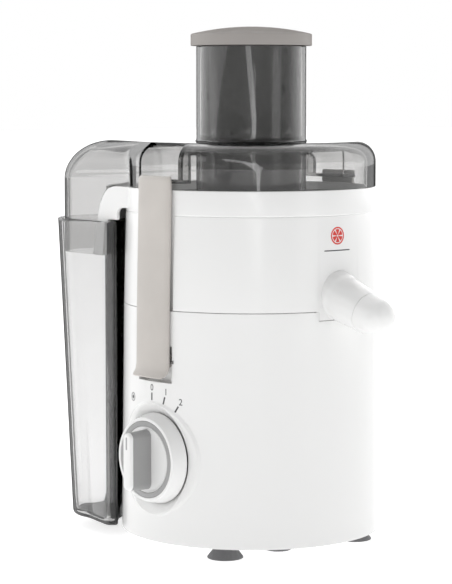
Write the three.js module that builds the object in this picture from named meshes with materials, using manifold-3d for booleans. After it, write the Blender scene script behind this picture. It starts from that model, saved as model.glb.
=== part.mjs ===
// Centrifugal juicer, in millimetres, +Z up. The column's axis is the Z axis and the table is z = 0.
// The spout points to -Y, the speed knob to -X, and the pulp container hangs behind at +Y.
import * as THREE from 'three';
import { mergeVertices } from 'three/addons/utils/BufferGeometryUtils.js';
import Module from 'manifold-3d';

const wasm = await Module();
wasm.setup();

// ---------------------------------------------------------------- driving dimensions
const GAP = 0.3;                 // between pieces that touch
const LARGE = 32;                // sides of a column sized circle
const MEDIUM = 20;
const SMALL = 10;

const Z_BASE = 9.5;              // underside of the column
const Z_SPLIT = 174;             // motor housing below, juice collector above
const Z_RIM = 257.7;             // top of the collector
const Z_COVER_TOP = 290;
const Z_TUBE_TOP = 358;
const Z_TOP = 372;               // top of the pusher cap
const R_BASE = 94.5;             // column radius at its underside
const R_SPLIT = 92.3;
const R_RIM = 90.3;
const WALL = 2.6;

const Z_DECK = 154;              // top of the motor deck
const R_TUBE = 39.7;             // feed tube, outside
const TUBE_WALL = 2.2;
const Z_TUBE_FOOT = 210;

const NOTCH_HALF = 19;           // the collector's tab under the spout
const Z_NOTCH = 167.6;

const KNOB_Z = 68.5;
const KNOB_R = 29.8;
const DISH_R = 40.3;
const X_DISH_FLOOR = -80;
const X_KNOB_RIM = -101;

const CLAMP_HALF = 17.2;         // half the clamp's width
const CLAMP_THICK = 3.1;
const Z_CLAMP_LOW = 126;
const Z_CLAMP_TOP = 267.2;
const Z_CLAMP_PIN = 138;
const X_CLAMP_PIN = 89.6;
const CHANNEL_R = 90.15;          // the collector is cut back to this behind the clamps
const CHANNEL_SIDE = 0.6;
const Z_LEDGE = 264.3;           // the cover's ledge under the clamp's hook
const LEDGE_DEPTH = 13;          // how far the pocket above the ledge is let into the cover

const BIN_HALF = 84.5;           // pulp container, half width at its rim
const BIN_FRONT_R = 97.6;        // its front wall follows the column
const BIN_BACK = 143;
const BIN_CORNER = 36;
const BIN_DRAFT = 7.4;
const Z_BIN_LOW = 9;
const Z_BIN_RIM = 232;
const BIN_WALL = 2.2;

const HOOD_INSET = 5;            // from the container's rim to the hood
const Z_SKIRT = 207;             // low edge of the hood's skirt and of the chute
const Z_HOOD_SHOULDER = 261;
const CHUTE_INNER = 102.2;       // the chute's curtain, inside the container
const CHUTE_BACK = [              // rear edge of the chute's cheeks, as Y and Z
  [82, Z_SKIRT], [78, 233], [76.9, 239.7], [75.1, 244.9], [71.6, 250.8], [66.9, 255.6], [60, Z_RIM]];
const CHUTE_HALF = 80;

const SPOUT_Z = 183;
const SPOUT_SLOPE = 18.5;        // degrees down from level
const SPOUT_ROOT_R = 16;
const SPOUT_LENGTH = 47;         // from the column's face to the rounded end
const SPOUT_NECK = 27;           // where the turning tip begins
const SPOUT_BORE = 9.5;
const Z_SPOUT_LOW = 159;         // the tip is cut flat here, round its mouth

const BASKET_LOW_R = 52;
const BASKET_TOP_R = 80;
const Z_BASKET_FLOOR = 196;
const Z_BASKET_TOP = 252;

// ---------------------------------------------------------------- colours and group
const group = new THREE.Group();
const COLOURS = {
  white: [0xf2f2f0, 0.35, 0], smoke: [0x6f6c69, 0.12, 0], taupe: [0xb9b0a9, 0.4, 0],
  rubber: [0x77787a, 0.85, 0], grey: [0x9b9b9b, 0.45, 0], steel: [0xc4c6c8, 0.3, 1],
  copper: [0xb4693a, 0.4, 1], lamination: [0x6d6f73, 0.5, 1], black: [0x2b2b2c, 0.6, 0],
};

// ---------------------------------------------------------------- solids
function toSolid(geometry) {
  const bare = geometry.clone();
  bare.deleteAttribute('normal');
  bare.deleteAttribute('uv');
  const merged = mergeVertices(bare, 1e-4);
  const corners = Uint32Array.from(merged.index.array);
  const places = Float32Array.from(merged.attributes.position.array);
  if (signedVolume(places, corners) < 0) {
    for (let i = 0; i < corners.length; i += 3) {
      [corners[i], corners[i + 1]] = [corners[i + 1], corners[i]];
    }
  }
  return new wasm.Manifold(new wasm.Mesh({ numProp: 3, vertProperties: places, triVerts: corners }));
}

function signedVolume(places, corners) {
  const a = new THREE.Vector3();
  const b = new THREE.Vector3();
  const c = new THREE.Vector3();
  let total = 0;
  for (let i = 0; i < corners.length; i += 3) {
    a.fromArray(places, corners[i] * 3);
    b.fromArray(places, corners[i + 1] * 3);
    c.fromArray(places, corners[i + 2] * 3);
    total += a.dot(b.cross(c)) / 6;
  }
  return total;
}

function toGeometry(solid) {
  const mesh = solid.getMesh();
  const geometry = new THREE.BufferGeometry();
  geometry.setAttribute('position', new THREE.BufferAttribute(Float32Array.from(mesh.vertProperties), 3));
  geometry.setIndex(new THREE.BufferAttribute(Uint32Array.from(mesh.triVerts), 1));
  return geometry;
}

function add(name, colour, solid) {
  const [color, roughness, metalness] = COLOURS[colour];
  const material = new THREE.MeshStandardMaterial({ color, roughness, metalness });
  const mesh = new THREE.Mesh(toGeometry(solid), material);
  mesh.name = name;
  group.add(mesh);
}

// A closed outline of [radius, z] turned about the Z axis.
function turned(outline, sides = LARGE) {
  const points = outline.map(([r, z]) => new THREE.Vector2(r, z));
  if (outline[0][0] > 0) points.push(points[0].clone());
  return toSolid(new THREE.LatheGeometry(points, sides).rotateX(Math.PI / 2));
}

function ring(inner, outer, low, high, sides = LARGE) {
  return turned([[inner, low], [outer, low], [outer, high], [inner, high]], sides);
}

function drum(radius, low, high, sides = LARGE) {
  return turned([[0, low], [radius, low], [radius, high], [0, high]], sides);
}

function block(x0, x1, y0, y1, z0, z1) {
  const box = new THREE.BoxGeometry(x1 - x0, y1 - y0, z1 - z0);
  return toSolid(box.translate((x0 + x1) / 2, (y0 + y1) / 2, (z0 + z1) / 2));
}

// An outline in the XZ plane carried along Y.
function alongY(outline, y0, y1) {
  const shape = new THREE.Shape(outline.map(([x, z]) => new THREE.Vector2(x, z)));
  const bar = new THREE.ExtrudeGeometry(shape, { depth: y1 - y0, bevelEnabled: false });
  return toSolid(bar.rotateX(Math.PI / 2).translate(0, y1, 0));
}

// An outline in the YZ plane carried along X.
function alongX(outline, x0, x1) {
  const shape = new THREE.Shape(outline.map(([y, z]) => new THREE.Vector2(y, z)));
  const bar = new THREE.ExtrudeGeometry(shape, { depth: x1 - x0, bevelEnabled: false });
  return toSolid(bar.rotateX(Math.PI / 2).rotateZ(Math.PI / 2).translate(x0, 0, 0));
}

// A turned outline of [radius, distance] laid along a direction from a point.
function turnedAlong(outline, from, direction, sides = MEDIUM) {
  const points = outline.map(([r, s]) => new THREE.Vector2(r, s));
  if (outline[0][0] > 0) points.push(points[0].clone());
  const lathe = new THREE.LatheGeometry(points, sides);
  const up = new THREE.Vector3(0, 1, 0);
  const turn = new THREE.Quaternion().setFromUnitVectors(up, new THREE.Vector3(...direction).normalize());
  return toSolid(lathe.applyQuaternion(turn).translate(...from));
}

function rod(radius, from, direction, length, sides = SMALL) {
  return turnedAlong([[0, 0], [radius, 0], [radius, length], [0, length]], from, direction, sides);
}

function joined(solids) {
  return solids.reduce((whole, piece) => whole.add(piece));
}

function cut(solid, tools) {
  return tools.reduce((left, tool) => left.subtract(tool), solid);
}

function columnRadius(z) {
  if (z < Z_SPLIT) return R_BASE + (R_SPLIT - R_BASE) * (z - Z_BASE) / (Z_SPLIT - Z_BASE);
  return R_SPLIT + (R_RIM - R_SPLIT) * (z - Z_SPLIT) / (Z_RIM - Z_SPLIT);
}

// Points on a quarter round from one corner of an outline to the next.
function quarter(centreR, centreZ, radiusR, radiusZ, fromDegrees, toDegrees, steps) {
  const points = [];
  for (let i = 0; i <= steps; i += 1) {
    const angle = THREE.MathUtils.degToRad(fromDegrees + (toDegrees - fromDegrees) * i / steps);
    points.push([centreR + radiusR * Math.cos(angle), centreZ + radiusZ * Math.sin(angle)]);
  }
  return points;
}

// ---------------------------------------------------------------- motor housing and base
function clampPocket(side, grow) {
  const floor = X_CLAMP_PIN - 4 - grow;
  const x0 = Math.min(side * floor, side * 100);
  const x1 = Math.max(side * floor, side * 100);
  const half = CLAMP_HALF + 0.4 + grow;
  return block(x0, x1, -half, half, Z_CLAMP_LOW - 3 - grow, Z_CLAMP_PIN + 11 + grow);
}

function motorHousing() {
  const outer = drumOfColumn(0, Z_BASE, Z_SPLIT - GAP);
  const below = drumOfColumn(-WALL, Z_BASE - 1, Z_DECK - 3);
  const above = drumOfColumn(-WALL, Z_DECK, Z_SPLIT + 1);
  const dome = turned([[0, Z_DECK - 4], [40, Z_DECK - 4], [36, 164], [0, 164]], MEDIUM);
  const domeHollow = turned([[0, Z_DECK - 5], [38, Z_DECK - 5], [33.4, 161.4], [0, 161.4]], MEDIUM);
  let body = joined([cut(outer, [below, above]), dome]).subtract(domeHollow);
  const dish = turnedAlong(
    [[0, 0], [34, 0], ...quarter(34, 8, DISH_R - 34, 8, -90, 0, 4), [DISH_R + 0.8, 22], [0, 22]],
    [X_DISH_FLOOR, 0, KNOB_Z], [-1, 0, 0], LARGE);
  const dishBack = turnedAlong([[0, 0], [DISH_R + 2, 0], [DISH_R + 2, 22], [0, 22]],
    [X_DISH_FLOOR + WALL, 0, KNOB_Z], [-1, 0, 0], LARGE);
  body = body.add(dishBack.intersect(outer));
  for (const side of [-1, 1]) body = body.add(clampPocket(side, WALL).intersect(outer));
  return cut(body, [
    dish,
    rod(5, [X_DISH_FLOOR - 1, 0, KNOB_Z], [1, 0, 0], 6),
    clampPocket(-1, 0),
    clampPocket(1, 0),
    drum(16, 150, 170, MEDIUM),
    block(-NOTCH_HALF - GAP, NOTCH_HALF + GAP, -100, -70, Z_NOTCH - GAP, Z_SPLIT + 1),
    ...[-1, 1].map((side) => clampPinBore(side)),
    rod(6.2, [...GLAND_WAY.slice(0, 2).map((v) => 80 * v), GLAND_Z], GLAND_WAY, 20),
  ]);
}

function clampPinBore(side) {
  return rod(2.2, [side * X_CLAMP_PIN, -20.2, Z_CLAMP_PIN], [0, 1, 0], 40.4, 12);
}

// The column's outside shape, grown or shrunk, between two heights.
function drumOfColumn(grow, low, high) {
  const middle = low < Z_SPLIT && high > Z_SPLIT ? [[R_SPLIT + grow, Z_SPLIT]] : [];
  return turned([[0, low], [columnRadius(low) + grow, low], ...middle,
    [columnRadius(high) + grow, high], [0, high]]);
}

const FEET = [[-63, -42], [49, -58], [42, 58], [-42, 58]];
const SMALL_FOOT = [-16.5, -46.5];
const GLAND_Z = 27;
const GLAND_WAY = [Math.cos(Math.PI / 7), Math.sin(Math.PI / 7), 0];
const SCREWS = [[-72, 12], [72, 12], [14, -72], [-12, 72]];

function basePlate() {
  const plate = drum(90.6, 10.2, 12.6);
  const vents = [];
  for (let i = 0; i < 6; i += 1) {
    const angle = (i + 0.5) * Math.PI / 3;
    vents.push(rod(5, [26 * Math.cos(angle), 26 * Math.sin(angle), 9], [0, 0, 1], 5, 6));
  }
  const screwHoles = SCREWS.map(([x, y]) => rod(2.4, [x, y, 9], [0, 0, 1], 5, 8));
  const footHoles = FEET.map(([x, y]) => rod(4.5, [x, y, 9], [0, 0, 1], 5, 10));
  footHoles.push(rod(3.5, [...SMALL_FOOT, 9], [0, 0, 1], 5, 10));
  return cut(plate, [...vents, ...screwHoles, ...footHoles]);
}

function foot([x, y], scale) {
  const outline = [[0, 0], [12.8, 0], [12.8, 0.9], [8.9, 6], [8.5, 9.9], [4, 9.9],
    [4, 13.5], [0, 13.5]];
  const shape = outline.map(([r, z]) => [r * (z > 9.8 ? Math.min(scale + 0.02, 1) : scale), z]);
  return turned(shape, 12).translate(x, y, 0);
}

function baseScrew([x, y]) {
  return turned([[0, 8.2], [3.6, 8.2], [4, 9.9], [2, 9.9], [2, 20], [0, 20]], 8).translate(x, y, 0);
}

function cordGland() {
  const outline = [[3.4, 86], [9, 86], [9, 90.2], [5.8, 90.5], [5.8, 94.9], [8.5, 95.2], [7.8, 99], [5.6, 107],
    [3.4, 107]];
  return turnedAlong(outline, [0, 0, GLAND_Z], GLAND_WAY, 12);
}

// ---------------------------------------------------------------- motor
const MOTOR = { low: 60, high: 104, upper: 122, armature: 22, bore: 22.8, stator: 47 };

function stator() {
  const shell = ring(41.5, MOTOR.stator, MOTOR.low, MOTOR.high, MEDIUM);
  const poles = block(-14, 14, -43, 43, MOTOR.low, MOTOR.high);
  return shell.add(poles).subtract(drum(MOTOR.bore, MOTOR.low - 1, MOTOR.high + 1, MEDIUM));
}

function fieldCoil(side) {
  const y0 = Math.min(side * 25.5, side * 34);
  const y1 = Math.max(side * 25.5, side * 34);
  const outer = block(-21, 21, y0, y1, MOTOR.low - 9, MOTOR.high + 7);
  return outer.subtract(block(-14.4, 14.4, y0 - 1, y1 + 1, MOTOR.low - GAP, MOTOR.high + GAP));
}

function armature() {
  const stack = drum(MOTOR.armature, MOTOR.low + 2, MOTOR.high - 2, 24);
  const slots = [];
  for (let i = 0; i < 12; i += 1) {
    slots.push(block(-1.2, 1.2, 17, 24, MOTOR.low, MOTOR.high).rotate([0, 0, i * 30]));
  }
  return cut(stack, [...slots, drum(4.3, 50, 110, SMALL)]);
}

function bracket(z, half) {
  const plate = block(-56, 56, -half, half, z, z + 4).add(drum(24, z, z + 4, 16));
  return cut(plate, [
    drum(11.3, z - 1, z + 5, 16),
    ...[-1, 1].map((side) => rod(3.2, [side * 50, 0, z - 1], [0, 0, 1], 6, 12)),
  ]);
}

function bearing(z) {
  return ring(4.3, 11, z, z + 7, 16);
}

function motorMount(side) {
  const top = MOTOR.upper + 4.3;
  const outline = [[0, MOTOR.upper - 0.5], [2.9, MOTOR.upper - 0.5], [2.9, top], [8, top], [8, 150.7], [0, 150.7]];
  return turned(outline, 16).translate(side * 50, 0, 0);
}

function motorPillar(side) {
  return turned([[0, 34.3], [4, 34.3], [4, MOTOR.upper - GAP], [0, MOTOR.upper - GAP]], 12)
    .translate(side * 50, side * 9, 0);
}

function brushHolder(side) {
  const x0 = Math.min(side * 13.8, side * 34);
  const x1 = Math.max(side * 13.8, side * 34);
  return block(x0, x1, -5, 5, 41, 50);
}

function coolingFan() {
  const plate = ring(4.3, 38, 117.6, 119.2, MEDIUM);
  const blades = [];
  for (let i = 0; i < 6; i += 1) {
    blades.push(block(14, 37, -1, 1, 112, 118).rotate([0, 0, i * 60]));
  }
  return joined([plate, ring(4.3, 15, 112, 118, MEDIUM), ...blades]);
}

function driveCoupling() {
  const boss = turned([[0, 164.6], [9.6, 164.6], [9.6, 188], [8.6, 189], [0, 189]], 24);
  const teeth = [];
  for (let i = 0; i < 6; i += 1) {
    teeth.push(block(8, 11.4, -1.5, 1.5, 176, 187).rotate([0, 0, i * 60]));
  }
  return joined([boss, ...teeth]).subtract(drum(4.3, 160, 180, SMALL));
}

// ---------------------------------------------------------------- knob and switches
function controlKnob() {
  const disc = turnedAlong([
    [0, 0], [20, 0], [26, 4], [32.2, 9], [32, 10.4], [KNOB_R + 0.4, 18.6], [KNOB_R, 19.4], [KNOB_R - 0.8, 20],
    [27.9, 20], [27.9, 18.6], [23.4, 18.6], [23.4, 20], [22.4, 18.9], [0, 18.9]],
  [X_DISH_FLOOR - 0.8, 0, KNOB_Z], [-1, 0, 0], LARGE);
  return disc.subtract(rod(4, [X_DISH_FLOOR + 2, 0, KNOB_Z], [-1, 0, 0], 12));
}

function knobRing() {
  return turnedAlong([[23.7, 0], [27.6, 0], [27.6, 1.3], [23.7, 1.3]],
    [X_DISH_FLOOR - 0.8 - 18.9, 0, KNOB_Z], [-1, 0, 0], LARGE);
}

function knobGrip() {
  const half = 5.3;
  const reach = 21.3;
  const shape = new THREE.Shape();
  shape.moveTo(-half, -reach + half);
  shape.absarc(0, -reach + half, half, Math.PI, 2 * Math.PI, false);
  shape.absarc(0, reach - half, half, 0, Math.PI, false);
  const bar = new THREE.ExtrudeGeometry(shape, {
    depth: 15.6, bevelThickness: 1.4, bevelSize: 1.4, bevelOffset: -1.4, bevelSegments: 2, curveSegments: 8,
  });
  const solid = toSolid(bar.rotateY(-Math.PI / 2).rotateX(Math.PI / 2).translate(X_KNOB_RIM + 0.2, 0, KNOB_Z));
  const groove = block(X_KNOB_RIM - 18, X_KNOB_RIM - 16.2, -0.8, 0.8, KNOB_Z + 8.5, KNOB_Z + 17.5);
  const behind = block(X_KNOB_RIM + 1, -90, -30, 30, KNOB_Z - 30, KNOB_Z + 30);
  return cut(solid, [groove, behind]);
}

function rotarySwitch() {
  return block(-76.5, -60, -15, 15, KNOB_Z - 15, KNOB_Z + 15)
    .subtract(rod(4, [-80, 0, KNOB_Z], [1, 0, 0], 16));
}

function knobShaft() {
  return rod(3.6, [X_DISH_FLOOR - 8, 0, KNOB_Z], [1, 0, 0], 22, 12);
}

// ---------------------------------------------------------------- clamps
// The arm is a ring of the column's curve cut to the clamp's width, so its face follows the column.
function clamp(side) {
  const back = (z) => columnRadius(z) + 0.5;
  const face = (z) => columnRadius(z) + 0.5 + CLAMP_THICK;
  const arm = turned([
    [back(134), 134],
    [back(130) + 0.4, 130],
    [back(126) + 3.2, 127.4],
    [face(126) + 4.6, Z_CLAMP_LOW],
    [face(128) + 4.9, 128],
    [face(130) + 2, 130.6],
    [face(134), 135],
    [face(Z_SPLIT), Z_SPLIT],
    [face(256), 258],
    ...quarter(R_RIM + 0.8, 263.4, CLAMP_THICK - 0.3, Z_CLAMP_TOP - 263.4, 10, 90, 4),
    [R_RIM + 0.4, Z_CLAMP_TOP],
    [back(250), 250],
    [back(Z_SPLIT), Z_SPLIT],
  ], 72);
  const x0 = Math.min(side * 40, side * 110);
  const x1 = Math.max(side * 40, side * 110);
  const width = block(x0, x1, -CLAMP_HALF, CLAMP_HALF, 120, 270);
  const knuckle = alongY([[87.2, 135], [88.6, 133.8], [93.9, 133.8], [93.9, 148], [91.4, 148],
    [87.2, 140.4]].map(([x, z]) => [side * x, z]), -CLAMP_HALF + 3.6, CLAMP_HALF - 3.6);
  return arm.intersect(width).add(knuckle).subtract(rod(2.4, [side * X_CLAMP_PIN, -30, Z_CLAMP_PIN],
    [0, 1, 0], 60, 12));
}

function clampPin(side) {
  return rod(1.9, [side * X_CLAMP_PIN, -19.4, Z_CLAMP_PIN], [0, 1, 0], 38.8, 12);
}

function safetySwitch() {
  return block(-82, -72, -8, 8, 128, 146);
}

// ---------------------------------------------------------------- juice collector
function spoutDirection() {
  const slope = THREE.MathUtils.degToRad(SPOUT_SLOPE);
  return [0, -Math.cos(slope), -Math.sin(slope)];
}

function alongSpout(distance) {
  const [, y, z] = spoutDirection();
  return [0, -R_SPLIT + distance * y, SPOUT_Z + distance * z];
}

// The chute's two cheeks and curtain straddle the container's front wall.
function chute() {
  const cheekOutline = [
    [40, 242.4], [52, 242.4], [55.4, 239.5], [55.6, Z_BIN_RIM + 1.4], [66, Z_BIN_RIM + 1.4],
    [68, Z_SKIRT + 14], [70, Z_SKIRT], ...CHUTE_BACK, [40, Z_RIM]];
  const cheeks = [-1, 1].map((side) => {
    const x0 = Math.min(side * (CHUTE_HALF - 2.6), side * CHUTE_HALF);
    const x1 = Math.max(side * (CHUTE_HALF - 2.6), side * CHUTE_HALF);
    return alongX(cheekOutline, x0, x1);
  });
  const curtain = ring(CHUTE_INNER, CHUTE_INNER + 2, Z_SKIRT, Z_RIM)
    .intersect(block(-CHUTE_HALF + 1, CHUTE_HALF - 1, 67, 120, 200, 260))
    .subtract(block(-CHUTE_HALF, 3 - CHUTE_HALF, 60, 80, 250, 260))
    .subtract(block(CHUTE_HALF - 3, CHUTE_HALF, 60, 80, 250, 260));
  const bridge = ring(R_RIM - 1.5, CHUTE_INNER + 2, 242.4, 245)
    .intersect(block(-CHUTE_HALF + 1, CHUTE_HALF - 1, 30, 120, 200, 260));
  return joined([...cheeks, curtain, bridge]);
}

function juiceCollector() {
  const inner = R_RIM - WALL;
  const bowl = turned([
    [17.4, 166.6], [86.2, 166.6], [86.2, Z_DECK + GAP], [88.6, Z_DECK + GAP], [88.6, Z_SPLIT],
    [R_SPLIT, Z_SPLIT], [columnRadius(239.6), 239.6], [columnRadius(240) - 0.5, 240],
    [columnRadius(240.4), 240.4], [R_RIM, Z_RIM], [inner, Z_RIM], [inner, 174], [84, 169.4],
    [20, 171.4], [20, 190.5], [17.4, 190.5]]);
  const tab = drumOfColumn(0, Z_NOTCH, Z_SPLIT + 2)
    .subtract(drum(88, Z_NOTCH - 1, Z_SPLIT + 3))
    .intersect(block(-NOTCH_HALF, NOTCH_HALF, -100, -70, 160, 180));
  const spout = turnedAlong([
    [0, -6], [SPOUT_ROOT_R, -6], [SPOUT_ROOT_R, 2], [SPOUT_ROOT_R - 0.9, 14], [14.4, SPOUT_NECK - GAP],
    [SPOUT_BORE + 1.6, SPOUT_NECK - GAP], [SPOUT_BORE + 1.6, SPOUT_NECK + 6], [0, SPOUT_NECK + 6]],
  alongSpout(0), spoutDirection(), MEDIUM)
    .subtract(drum(inner + 0.6, 160, 230)).subtract(drum(R_SPLIT + GAP, 150, Z_NOTCH));
  const bore = rod(SPOUT_BORE, alongSpout(-14), spoutDirection(), 60, 24);
  const window = block(-66, 66, 20, 95, 245, 270).intersect(drum(R_RIM + 6, 240, 280));
  const channels = ring(CHANNEL_R, 110, Z_SPLIT - 2, Z_RIM + 5)
    .intersect(block(-120, 120, -CLAMP_HALF - CHANNEL_SIDE, CLAMP_HALF + CHANNEL_SIDE, 160, 280));
  return cut(joined([bowl, tab, spout, chute()]), [bore, window, channels]);
}

function spoutTip() {
  const start = SPOUT_NECK;
  const body = turnedAlong([
    [0, start], [14.3, start], [13.9, start + 8], ...quarter(0, SPOUT_LENGTH - 10, 13.7, 12, 10, 90, 5)],
  alongSpout(0), spoutDirection(), MEDIUM);
  const bore = turnedAlong([[0, start - 1], [SPOUT_BORE + 2.1, start - 1], [SPOUT_BORE + 2.1, start + 14],
    [0, start + 18]], alongSpout(0), spoutDirection(), 24);
  const [, y, z] = alongSpout(36);
  const mouth = rod(9.4, [0, y, Z_SPOUT_LOW - 5], [0, 0, 1], z - Z_SPOUT_LOW + 5, 24);
  const below = block(-30, 30, -160, -80, 120, Z_SPOUT_LOW);
  const beyond = turnedAlong([[0, start], [60, start], [60, start + 60], [0, start + 60]],
    alongSpout(0), spoutDirection(), 8);
  return cut(body.intersect(beyond), [bore, mouth, below]);
}

// ---------------------------------------------------------------- cover with feed tube and hood
// Half width and back of the hood, inset from the container's rim; the front edge lies at frontY.
function hoodPlan(inset, frontY) {
  const half = BIN_HALF - inset;
  const back = BIN_BACK - inset;
  const corner = BIN_CORNER - inset;
  const shape = new THREE.Shape();
  shape.moveTo(-half, frontY);
  shape.lineTo(half, frontY);
  shape.lineTo(half, back - corner);
  shape.absarc(half - corner, back - corner, corner, 0, Math.PI / 2, false);
  shape.absarc(-half + corner, back - corner, corner, Math.PI / 2, Math.PI, false);
  return shape;
}

// The hood narrows towards its top in an ellipse, more to the back and the sides than at the front.
function hoodSolid(inset, top, low) {
  const plan = hoodPlan(inset, 0);
  const steps = 6;
  const loaf = new THREE.ExtrudeGeometry(plan, { depth: 1, steps, bevelEnabled: false, curveSegments: 5 });
  const place = loaf.attributes.position;
  const rise = top - Z_HOOD_SHOULDER;
  for (let i = 0; i < place.count; i += 1) {
    const level = Math.round(place.getZ(i) * steps);
    const turn = Math.max(0, level - 1) / (steps - 1) * Math.PI / 2;
    const z = level === 0 ? low : Z_HOOD_SHOULDER + rise * Math.sin(turn);
    const draw = 1 - Math.cos(turn);
    const x = place.getX(i);
    const y = place.getY(i);
    const sideways = 1 - 0.3 * draw * Math.min(1, Math.max(0, (y - 15) / 90));
    const backwards = y > 40 ? 40 + (y - 40) * (1 - 0.36 * draw) : y;
    place.setXYZ(i, x * sideways, backwards, z);
  }
  return toSolid(loaf);
}

function coverRound(radius, low, top, shoulder) {
  return turned([[0, low], [radius, low], ...quarter(radius - shoulder, top - shoulder, shoulder, shoulder,
    0, 90, 3), [0, top]]);
}

function cover() {
  const low = Z_RIM + GAP;
  const hoodFront = alongX([
    [-10, 190], [CHUTE_BACK[0][0] + 0.4, 190], ...CHUTE_BACK.map(([y, z]) => [y + 0.4, z + GAP]),
    [-10, low]], -100, 100);
  const outerHood = hoodSolid(HOOD_INSET, Z_COVER_TOP, Z_SKIRT).subtract(hoodFront);
  const innerHood = hoodSolid(HOOD_INSET + TUBE_WALL, Z_COVER_TOP - TUBE_WALL, Z_SKIRT - 5);
  const outerRound = coverRound(R_RIM - 0.2, low, Z_COVER_TOP, 14);
  const innerRound = coverRound(R_RIM - 0.2 - TUBE_WALL, low - 5, Z_COVER_TOP - TUBE_WALL, 12);
  const pocket = (side, grow) => {
    const reach = R_RIM - LEDGE_DEPTH - grow;
    const x0 = Math.min(side * reach, side * 100);
    const x1 = Math.max(side * reach, side * 100);
    const half = CLAMP_HALF + 1 + grow;
    return block(x0, x1, -half, half, Z_LEDGE - grow, 300);
  };
  const outer = cut(joined([outerHood, outerRound]), [pocket(-1, 0), pocket(1, 0)]);
  const inner = cut(joined([innerHood, innerRound]), [pocket(-1, TUBE_WALL), pocket(1, TUBE_WALL)]);
  const tube = turned([
    [0, Z_TUBE_FOOT], [R_TUBE, Z_TUBE_FOOT], [R_TUBE, Z_COVER_TOP - 1], [R_TUBE + 4, Z_COVER_TOP - 1],
    [R_TUBE + 1.2, Z_COVER_TOP + 1.2], [R_TUBE, Z_COVER_TOP + 4.4], [R_TUBE, Z_TUBE_TOP], [0, Z_TUBE_TOP]]);
  const bore = drum(R_TUBE - TUBE_WALL, Z_TUBE_FOOT - 1, Z_TUBE_TOP + 1);
  return outer.subtract(inner).add(tube).subtract(bore);
}

// ---------------------------------------------------------------- pusher
function pusherBody() {
  return turned([
    [0, 213], [36.3, 213], [36.7, 214], [36.7, Z_TUBE_TOP], [34.3, Z_TUBE_TOP], [34.3, 215.6],
    [0, 215.6]]);
}

function pusherCap() {
  return turned([
    [0, 350], [33.6, 350], [33.9, 351], [33.9, Z_TUBE_TOP + GAP], [43.7, Z_TUBE_TOP + GAP],
    [43.7, 366.2], [43.2, 366.9], [33, 369], [22, 370.7], [11, 371.7], [0, Z_TOP]]);
}

// ---------------------------------------------------------------- basket
function basketFrame() {
  return turned([
    [0, 190.4], [11.9, 190.4], [11.9, 176], [15.6, 176], [15.6, 191.6], [23, 191.6], [23, 178],
    [25.2, 178], [25.2, Z_BASKET_FLOOR - 2], [BASKET_LOW_R, Z_BASKET_FLOOR - 2],
    [BASKET_LOW_R + 2.4, 201], [BASKET_LOW_R - 0.4, 201], [BASKET_LOW_R - 0.8, Z_BASKET_FLOOR],
    [0, Z_BASKET_FLOOR]]);
}

function strainer() {
  const low = 201.3;
  const high = Z_BASKET_TOP - 4.3;
  const lowR = BASKET_LOW_R + 0.2;
  const highR = BASKET_TOP_R - 1.6;
  return turned([[lowR, low], [lowR + 1.2, low], [highR + 1.2, high], [highR, high]]);
}

function basketRim() {
  const low = Z_BASKET_TOP - 4;
  return ring(BASKET_TOP_R - 2.6, BASKET_TOP_R + 1.6, low, Z_BASKET_TOP);
}

function graterDisc() {
  const disc = drum(BASKET_LOW_R - 2, Z_BASKET_FLOOR + GAP, Z_BASKET_FLOOR + 1.8, MEDIUM);
  const teeth = [];
  for (let i = 0; i < 12; i += 1) {
    const tooth = new THREE.ConeGeometry(1.4, 2.6, 6).rotateX(Math.PI / 2);
    const spiral = 12 + (i % 4) * 9;
    tooth.translate(spiral, 0, Z_BASKET_FLOOR + 2.9).rotateZ(i * Math.PI / 6);
    teeth.push(toSolid(tooth));
  }
  return joined([disc, ...teeth]);
}

// ---------------------------------------------------------------- pulp container
function binPlan(inset) {
  const half = BIN_HALF - inset;
  const back = BIN_BACK - inset;
  const corner = BIN_CORNER - inset;
  const front = BIN_FRONT_R + inset;
  const edge = half - 5;
  const edgeY = Math.sqrt(front * front - edge * edge);
  const shape = new THREE.Shape();
  shape.moveTo(half, edgeY + 7);
  shape.lineTo(half, back - corner);
  shape.absarc(half - corner, back - corner, corner, 0, Math.PI / 2, false);
  shape.absarc(-half + corner, back - corner, corner, Math.PI / 2, Math.PI, false);
  shape.lineTo(-half, edgeY + 7);
  shape.quadraticCurveTo(-half, edgeY + 1, -edge, edgeY);
  shape.absarc(0, 0, front, Math.PI - Math.asin(edgeY / front), Math.asin(edgeY / front), true);
  shape.quadraticCurveTo(half, edgeY + 1, half, edgeY + 7);
  return shape;
}

// The container narrows downwards at its back and sides; its front stays upright along the column.
function binSolid(inset, low, high) {
  const walls = new THREE.ExtrudeGeometry(binPlan(inset), {
    depth: high - low, steps: 2, bevelEnabled: false, curveSegments: 7,
  });
  walls.translate(0, 0, low);
  const place = walls.attributes.position;
  for (let i = 0; i < place.count; i += 1) {
    const x = place.getX(i);
    const y = place.getY(i);
    const z = place.getZ(i);
    const drop = BIN_DRAFT * (Z_BIN_RIM - z) / (Z_BIN_RIM - Z_BIN_LOW);
    const share = Math.min(1, Math.max(0, (Math.hypot(x, y) - BIN_FRONT_R - 6) / 25));
    place.setX(i, x - x / BIN_HALF * drop * share);
    place.setY(i, y - drop * share * Math.min(1, (y - 50) / 80));
  }
  return toSolid(walls);
}

function pulpContainer() {
  return binSolid(0, Z_BIN_LOW, Z_BIN_RIM).subtract(binSolid(BIN_WALL, Z_BIN_LOW + BIN_WALL, Z_BIN_RIM + 5));
}

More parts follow.
